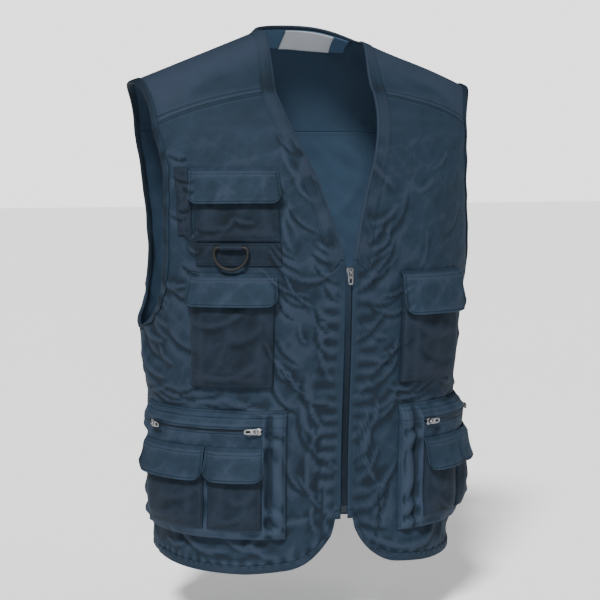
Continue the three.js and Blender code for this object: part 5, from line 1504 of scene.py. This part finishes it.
def build_stitches(name, lines):
    """One piece of thread from all the lines of points and normals."""
    verts, faces = [], []
    for points, normals in lines:
        v, f = stitch_line(points, normals)
        faces += [tuple(i + len(verts) for i in face) for face in f]
        verts += [list(p) for p in v]
    piece = new_piece(name, np.array(verts) * MM, faces, "vest")
    dress(piece, "navy_thread")


def surface_line(place, us, vs, lift):
    """Points and normals of a line drawn on a surface function of two shares."""
    point = place(us, vs)
    step = 1e-3
    across = place(us + step, vs) - place(us - step, vs)
    down = place(us, vs + step) - place(us, vs - step)
    normal = unit(np.cross(across, down))
    inside = np.stack([point[:, 0] / 2, np.full(len(point), BACK_DEPTH / 4), point[:, 2] - FRONT_DEPTH],
                      axis=-1)
    normal = normal * np.sign(((point - inside) * normal).sum(-1))[:, None]
    return point + normal * lift, normal


def cloth_line(side, arcs, drops, lift):
    """Points and normals of a line drawn on the cloth by arc and drop."""
    arcs, drops = np.broadcast_arrays(np.asarray(arcs, float), np.asarray(drops, float))
    angle = angle_at(side * arcs, drops)
    return body(angle, drops, lift), outward(angle, drops)


def build_body_stitches():
    lines = []
    for side, _ in SIDES:
        panel = lambda u, v, side=side: front_point(side, u, v)
        front = lambda s, t, side=side: yoke_front(side, s, t)
        back = lambda s, t, side=side: yoke_back(side, s, t)
        lines.append(surface_line(panel, np.linspace(0.01, 0.99, 150), np.full(150, 0.004), -0.1))
        lines.append(surface_line(panel, np.linspace(0.012, 0.985, 200), np.full(200, 1 - 0.0175), 0.0))
        lines.append(surface_line(panel, np.full(120, 0.993), np.linspace(UNDERARM_SHARE + 0.01, 0.99, 120),
                                  -0.1))
        beside_zip = np.linspace(v_row_at(V_DROP + 10), v_row_at(ZIP_END_DROP - 6), 200)
        lines.append(surface_line(panel, np.full(200, 0.022), beside_zip, 0.1))
        s = np.linspace(0.02, 0.98, 120)
        lines += [surface_line(front, s, np.full(120, t), -0.15) for t in (0.018, 0.085)]
        lines += [surface_line(back, s, np.full(120, t), -0.15) for t in (0.988, 0.94)]
    turns = np.linspace(-88, 88, 90)
    lines += [surface_line(yoke_neck, turns, np.full(90, t), -0.15) for t in (0.988, 0.94)]
    build_stitches("body_stitching", lines)


def pocket_lines(pocket, ground):
    """Stitching down both sides of a patch pocket and along its foot."""
    left, right = pocket["start"] + EDGE_ROW, pocket["start"] + pocket["width"] - EDGE_ROW
    top, bottom = pocket["top"] + 2, pocket["top"] + pocket["height"] - EDGE_ROW
    down, across = np.linspace(top, bottom, 60), np.linspace(left, right, 60)
    lines = []
    for arcs, drops in ((0 * down + left, down), (across, 0 * across + bottom),
                        (0 * down + right, down[::-1])):
        lift = ground(arcs, drops) + patch_height(pocket, arcs, drops) - 0.1
        lines.append(cloth_line(pocket["side"], arcs, drops, lift))
    return lines


def build_pocket_stitches():
    lines = []
    for pocket in chest_pockets():
        lines += pocket_lines(pocket, on_cloth)
        if pocket["flap"]:
            lines += flap_lines(pocket, on_cloth)
    for side, name in SIDES:
        for pocket in small_pockets(side, name):
            lines += pocket_lines(pocket, lower_lift) + flap_lines(pocket, lower_lift)
        arcs = np.linspace(LOWER_START + 2, LOWER_END - 2, 160)
        lips = lip_half(arcs) + LIP_ROW
        for drops, sink in ((LOWER_TOP + EDGE_ROW, 0.1), (LOWER_TOP + LOWER_TOP_ROW, 0.1),
                            (LOWER_BOTTOM - EDGE_ROW, 0.0), (LOWER_ZIP - lips, 0.05),
                            (LOWER_ZIP + lips, 0.05)):
            drops = drops + 0 * arcs
            lines.append(cloth_line(side, arcs, drops, lower_lift(arcs, drops) - sink))
    build_stitches("pocket_stitching", lines)


def flap_lines(pocket, ground):
    """Stitching round a flap's free edge and below its seam."""
    start, end = flap_ends(pocket)
    flap, inset = pocket["flap"], FLAP_ROW + 0.2
    lines = []
    for arcs, share in ((np.full(40, start + FLAP_ROW), np.linspace(0.05, 0.93, 40)),
                        (np.linspace(start + inset, end - inset, 70), np.full(70, 1 - FLAP_ROW / flap)),
                        (np.full(40, end - FLAP_ROW), np.linspace(0.93, 0.05, 40)),
                        (np.linspace(start + FLAP_ROW, end - FLAP_ROW, 70),
                         np.full(70, FLAP_TOP_ROW / flap))):
        _, _, drop, height = flap_shape(pocket, arcs, share)
        lines.append(cloth_line(pocket["side"], arcs, drop, ground(arcs, drop) + height - 0.1))
    return lines


# Studio, in metres and degrees: camera and floor, then each lamp's name, way it shines from, width
# and share of the key light
CAMERA_TURN, CAMERA_RISE, CAMERA_DISTANCE, CAMERA_LENS = -20.5, 5.2, 2.1, 98.4
CAMERA_TARGET, FLOOR_HEIGHT, FLOOR_SIZE = (-0.004, 0, -0.338), -0.74, 30
LAMPS = (("key", (-0.52, -0.80, 0.95), 12, 1.0), ("side", (0.95, -0.5, 0.6), 34, 0.08),
         ("front", (-0.30, -0.95, 0.16), 20, 0.17))


def face_against(thing, way):
    """Puts a camera or lamp into the scene, turned so that it looks against a way."""
    thing.rotation_mode = "QUATERNION"
    thing.rotation_quaternion = (-way).to_track_quat("-Z", "Y")
    bpy.context.scene.collection.objects.link(thing)


def build_camera():
    across, up = CAMERA_TURN * RADIANS, CAMERA_RISE * RADIANS
    back = Vector((math.sin(across) * math.cos(up), -math.cos(across) * math.cos(up), math.sin(up)))
    camera = bpy.data.objects.new("camera", bpy.data.cameras.new("camera"))
    camera.data.sensor_width, camera.data.lens = 36, CAMERA_LENS
    camera.location = Vector(CAMERA_TARGET) + back * CAMERA_DISTANCE
    face_against(camera, back)
    bpy.context.scene.camera = camera


def build_floor(glow):
    clear_selection()
    bpy.ops.mesh.primitive_plane_add(size=FLOOR_SIZE, location=(0, 0, FLOOR_HEIGHT))
    floor = bpy.context.active_object
    floor.name = floor.data.name = "studio_floor"
    paint = new_paint("pale_floor")
    cloud = paint.noise(paint.place(), 0.8, 2.0)
    base = paint.mix(cloud, (0.93, 0.93, 0.93, 1), (0.96, 0.96, 0.96, 1))
    floor.data.materials.append(paint.surface(
        {"Base Color": base, "Roughness": 0.9, "Emission Color": (1, 1, 1, 1), "Emission Strength": glow}))


def build_sky(fill, backdrop):
    """Even light all round, and another brightness where the camera sees it."""
    world = bpy.data.worlds.new("studio")
    bpy.context.scene.world = world
    paint = Paint(world)
    seen = paint.add("ShaderNodeLightPath")
    strength = paint.add("ShaderNodeMix", {"data_type": "FLOAT"}, {0: seen, 2: fill, 3: backdrop})
    sky = paint.add("ShaderNodeBackground", None, {"Color": (1, 1, 1, 1), "Strength": strength})
    paint.add("ShaderNodeOutputWorld", None, {"Surface": sky})


def build_studio():
    sizes = bpy.context.scene.vest_sizes
    build_camera()
    build_floor(sizes.floor_glow)
    build_sky(sizes.fill_light, sizes.backdrop_light)
    for name, way, angle, power in LAMPS:
        lamp = bpy.data.objects.new(name, bpy.data.lights.new(name, "SUN"))
        lamp.data.angle, lamp.data.energy = angle * RADIANS, power * sizes.key_light
        lamp.location = Vector(way) * 2
        face_against(lamp, Vector(way))


class VestSizes(bpy.types.PropertyGroup):
    """Sizes and colours of the vest that can be changed"""
    crease_strength: FloatProperty(
        name="Crease strength", description="How deep the worn creases of the cloth are", default=2.2,
        min=0.0, max=3.0, subtype="FACTOR")
    navy: FloatVectorProperty(
        name="Navy", description="Colour of the twill", subtype="COLOR", default=(0.0088, 0.0170, 0.0285))
    tape: FloatVectorProperty(
        name="Tape", description="Colour of the zip tapes and teeth", subtype="COLOR",
        default=(0.005, 0.009, 0.015))
    label: FloatVectorProperty(
        name="Label", description="Colour of the neck label", subtype="COLOR", default=(0.42, 0.45, 0.49))
    key_light: FloatProperty(
        name="Key light", description="Strength of the main soft light", default=5.7, min=0.0)
    fill_light: FloatProperty(
        name="Fill light", description="Strength of the even light all round", default=0.13, min=0.0)
    backdrop_light: FloatProperty(
        name="Backdrop", description="Brightness of the empty background", default=2.2, min=0.0)
    floor_glow: FloatProperty(
        name="Floor glow", description="Light of the lit studio floor itself", default=0.35, min=0.0)


class VEST_OT_body(bpy.types.Operator):
    """Front panels, back and yoke"""
    bl_idname = "vest.body"
    bl_label = "Body cloth"

    def execute(self, context):
        for side, name in SIDES:
            build_front(side, "front_panel_" + name)
        build_back()
        build_yoke()
        return {"FINISHED"}


class VEST_OT_bands(bpy.types.Operator):
    """Armhole, neck and hem bands"""
    bl_idname = "vest.bands"
    bl_label = "Edge bands"

    def execute(self, context):
        for side, name in SIDES:
            build_armhole_band(side, "armhole_band_" + name)
        build_neck_band()
        build_hem_bands()
        return {"FINISHED"}


class VEST_OT_neck(bpy.types.Operator):
    """Facing and label inside the back of the neck"""
    bl_idname = "vest.neck"
    bl_label = "Neck facing and label"

    def execute(self, context):
        build_neck_trim()
        return {"FINISHED"}


class VEST_OT_chest(bpy.types.Operator):
    """Chest pockets, upper pocket and pen pocket"""
    bl_idname = "vest.chest"
    bl_label = "Chest pockets"

    def execute(self, context):
        build_chest()
        return {"FINISHED"}


class VEST_OT_ring(bpy.types.Operator):
    """Ring band, ring and the tab that holds it"""
    bl_idname = "vest.ring"
    bl_label = "Ring and band"

    def execute(self, context):
        build_ring_band()
        build_ring()
        build_ring_tab()
        return {"FINISHED"}


class VEST_OT_lower(bpy.types.Operator):
    """Bellows pockets above the hem with their small flap pockets"""
    bl_idname = "vest.lower"
    bl_label = "Lower pockets"

    def execute(self, context):
        for side, name in SIDES:
            build_lower(side, name)
        return {"FINISHED"}


class VEST_OT_zips(bpy.types.Operator):
    """Main zip, pocket zips, sliders and pulls"""
    bl_idname = "vest.zips"
    bl_label = "Zips"

    def execute(self, context):
        build_main_zip()
        build_zip_head("zip", 0, V_DROP + SLIDER_LENGTH / 2, TEETH_LIFT + BAND_SEAT, 0)
        for side, name in SIDES:
            build_pocket_zip(side, name)
            build_pocket_heads(side, name)
        return {"FINISHED"}


class VEST_OT_stitching(bpy.types.Operator):
    """Rows of visible stitching"""
    bl_idname = "vest.stitching"
    bl_label = "Stitching"

    def execute(self, context):
        build_body_stitches()
        build_pocket_stitches()
        return {"FINISHED"}


class VEST_OT_studio(bpy.types.Operator):
    """Camera, pale floor and soft lights"""
    bl_idname = "vest.studio"
    bl_label = "Studio"

    def execute(self, context):
        build_studio()
        return {"FINISHED"}


STEPS = ("body", "bands", "neck", "chest", "ring", "lower", "zips", "stitching", "studio")


class VEST_PT_panel(bpy.types.Panel):
    """Sizes, colours and the steps that build the vest"""
    bl_label = "Work vest"
    bl_idname = "VEST_PT_panel"
    bl_space_type = "VIEW_3D"
    bl_region_type = "UI"
    bl_category = "Vest"

    def draw(self, context):
        for key in VestSizes.__annotations__:
            self.layout.prop(context.scene.vest_sizes, key)
        for step in STEPS:
            self.layout.operator("vest." + step)


CLASSES = (VestSizes, VEST_OT_body, VEST_OT_bands, VEST_OT_neck, VEST_OT_chest, VEST_OT_ring, VEST_OT_lower,
           VEST_OT_zips, VEST_OT_stitching, VEST_OT_studio, VEST_PT_panel)


def register():
    for cls in CLASSES:
        bpy.utils.register_class(cls)
    bpy.types.Scene.vest_sizes = PointerProperty(type=VestSizes)


def unregister():
    del bpy.types.Scene.vest_sizes
    for cls in reversed(CLASSES):
        bpy.utils.unregister_class(cls)


def main():
    register()
    for step in STEPS:
        getattr(bpy.ops.vest, step)()


if __name__ == "__main__":
    main()
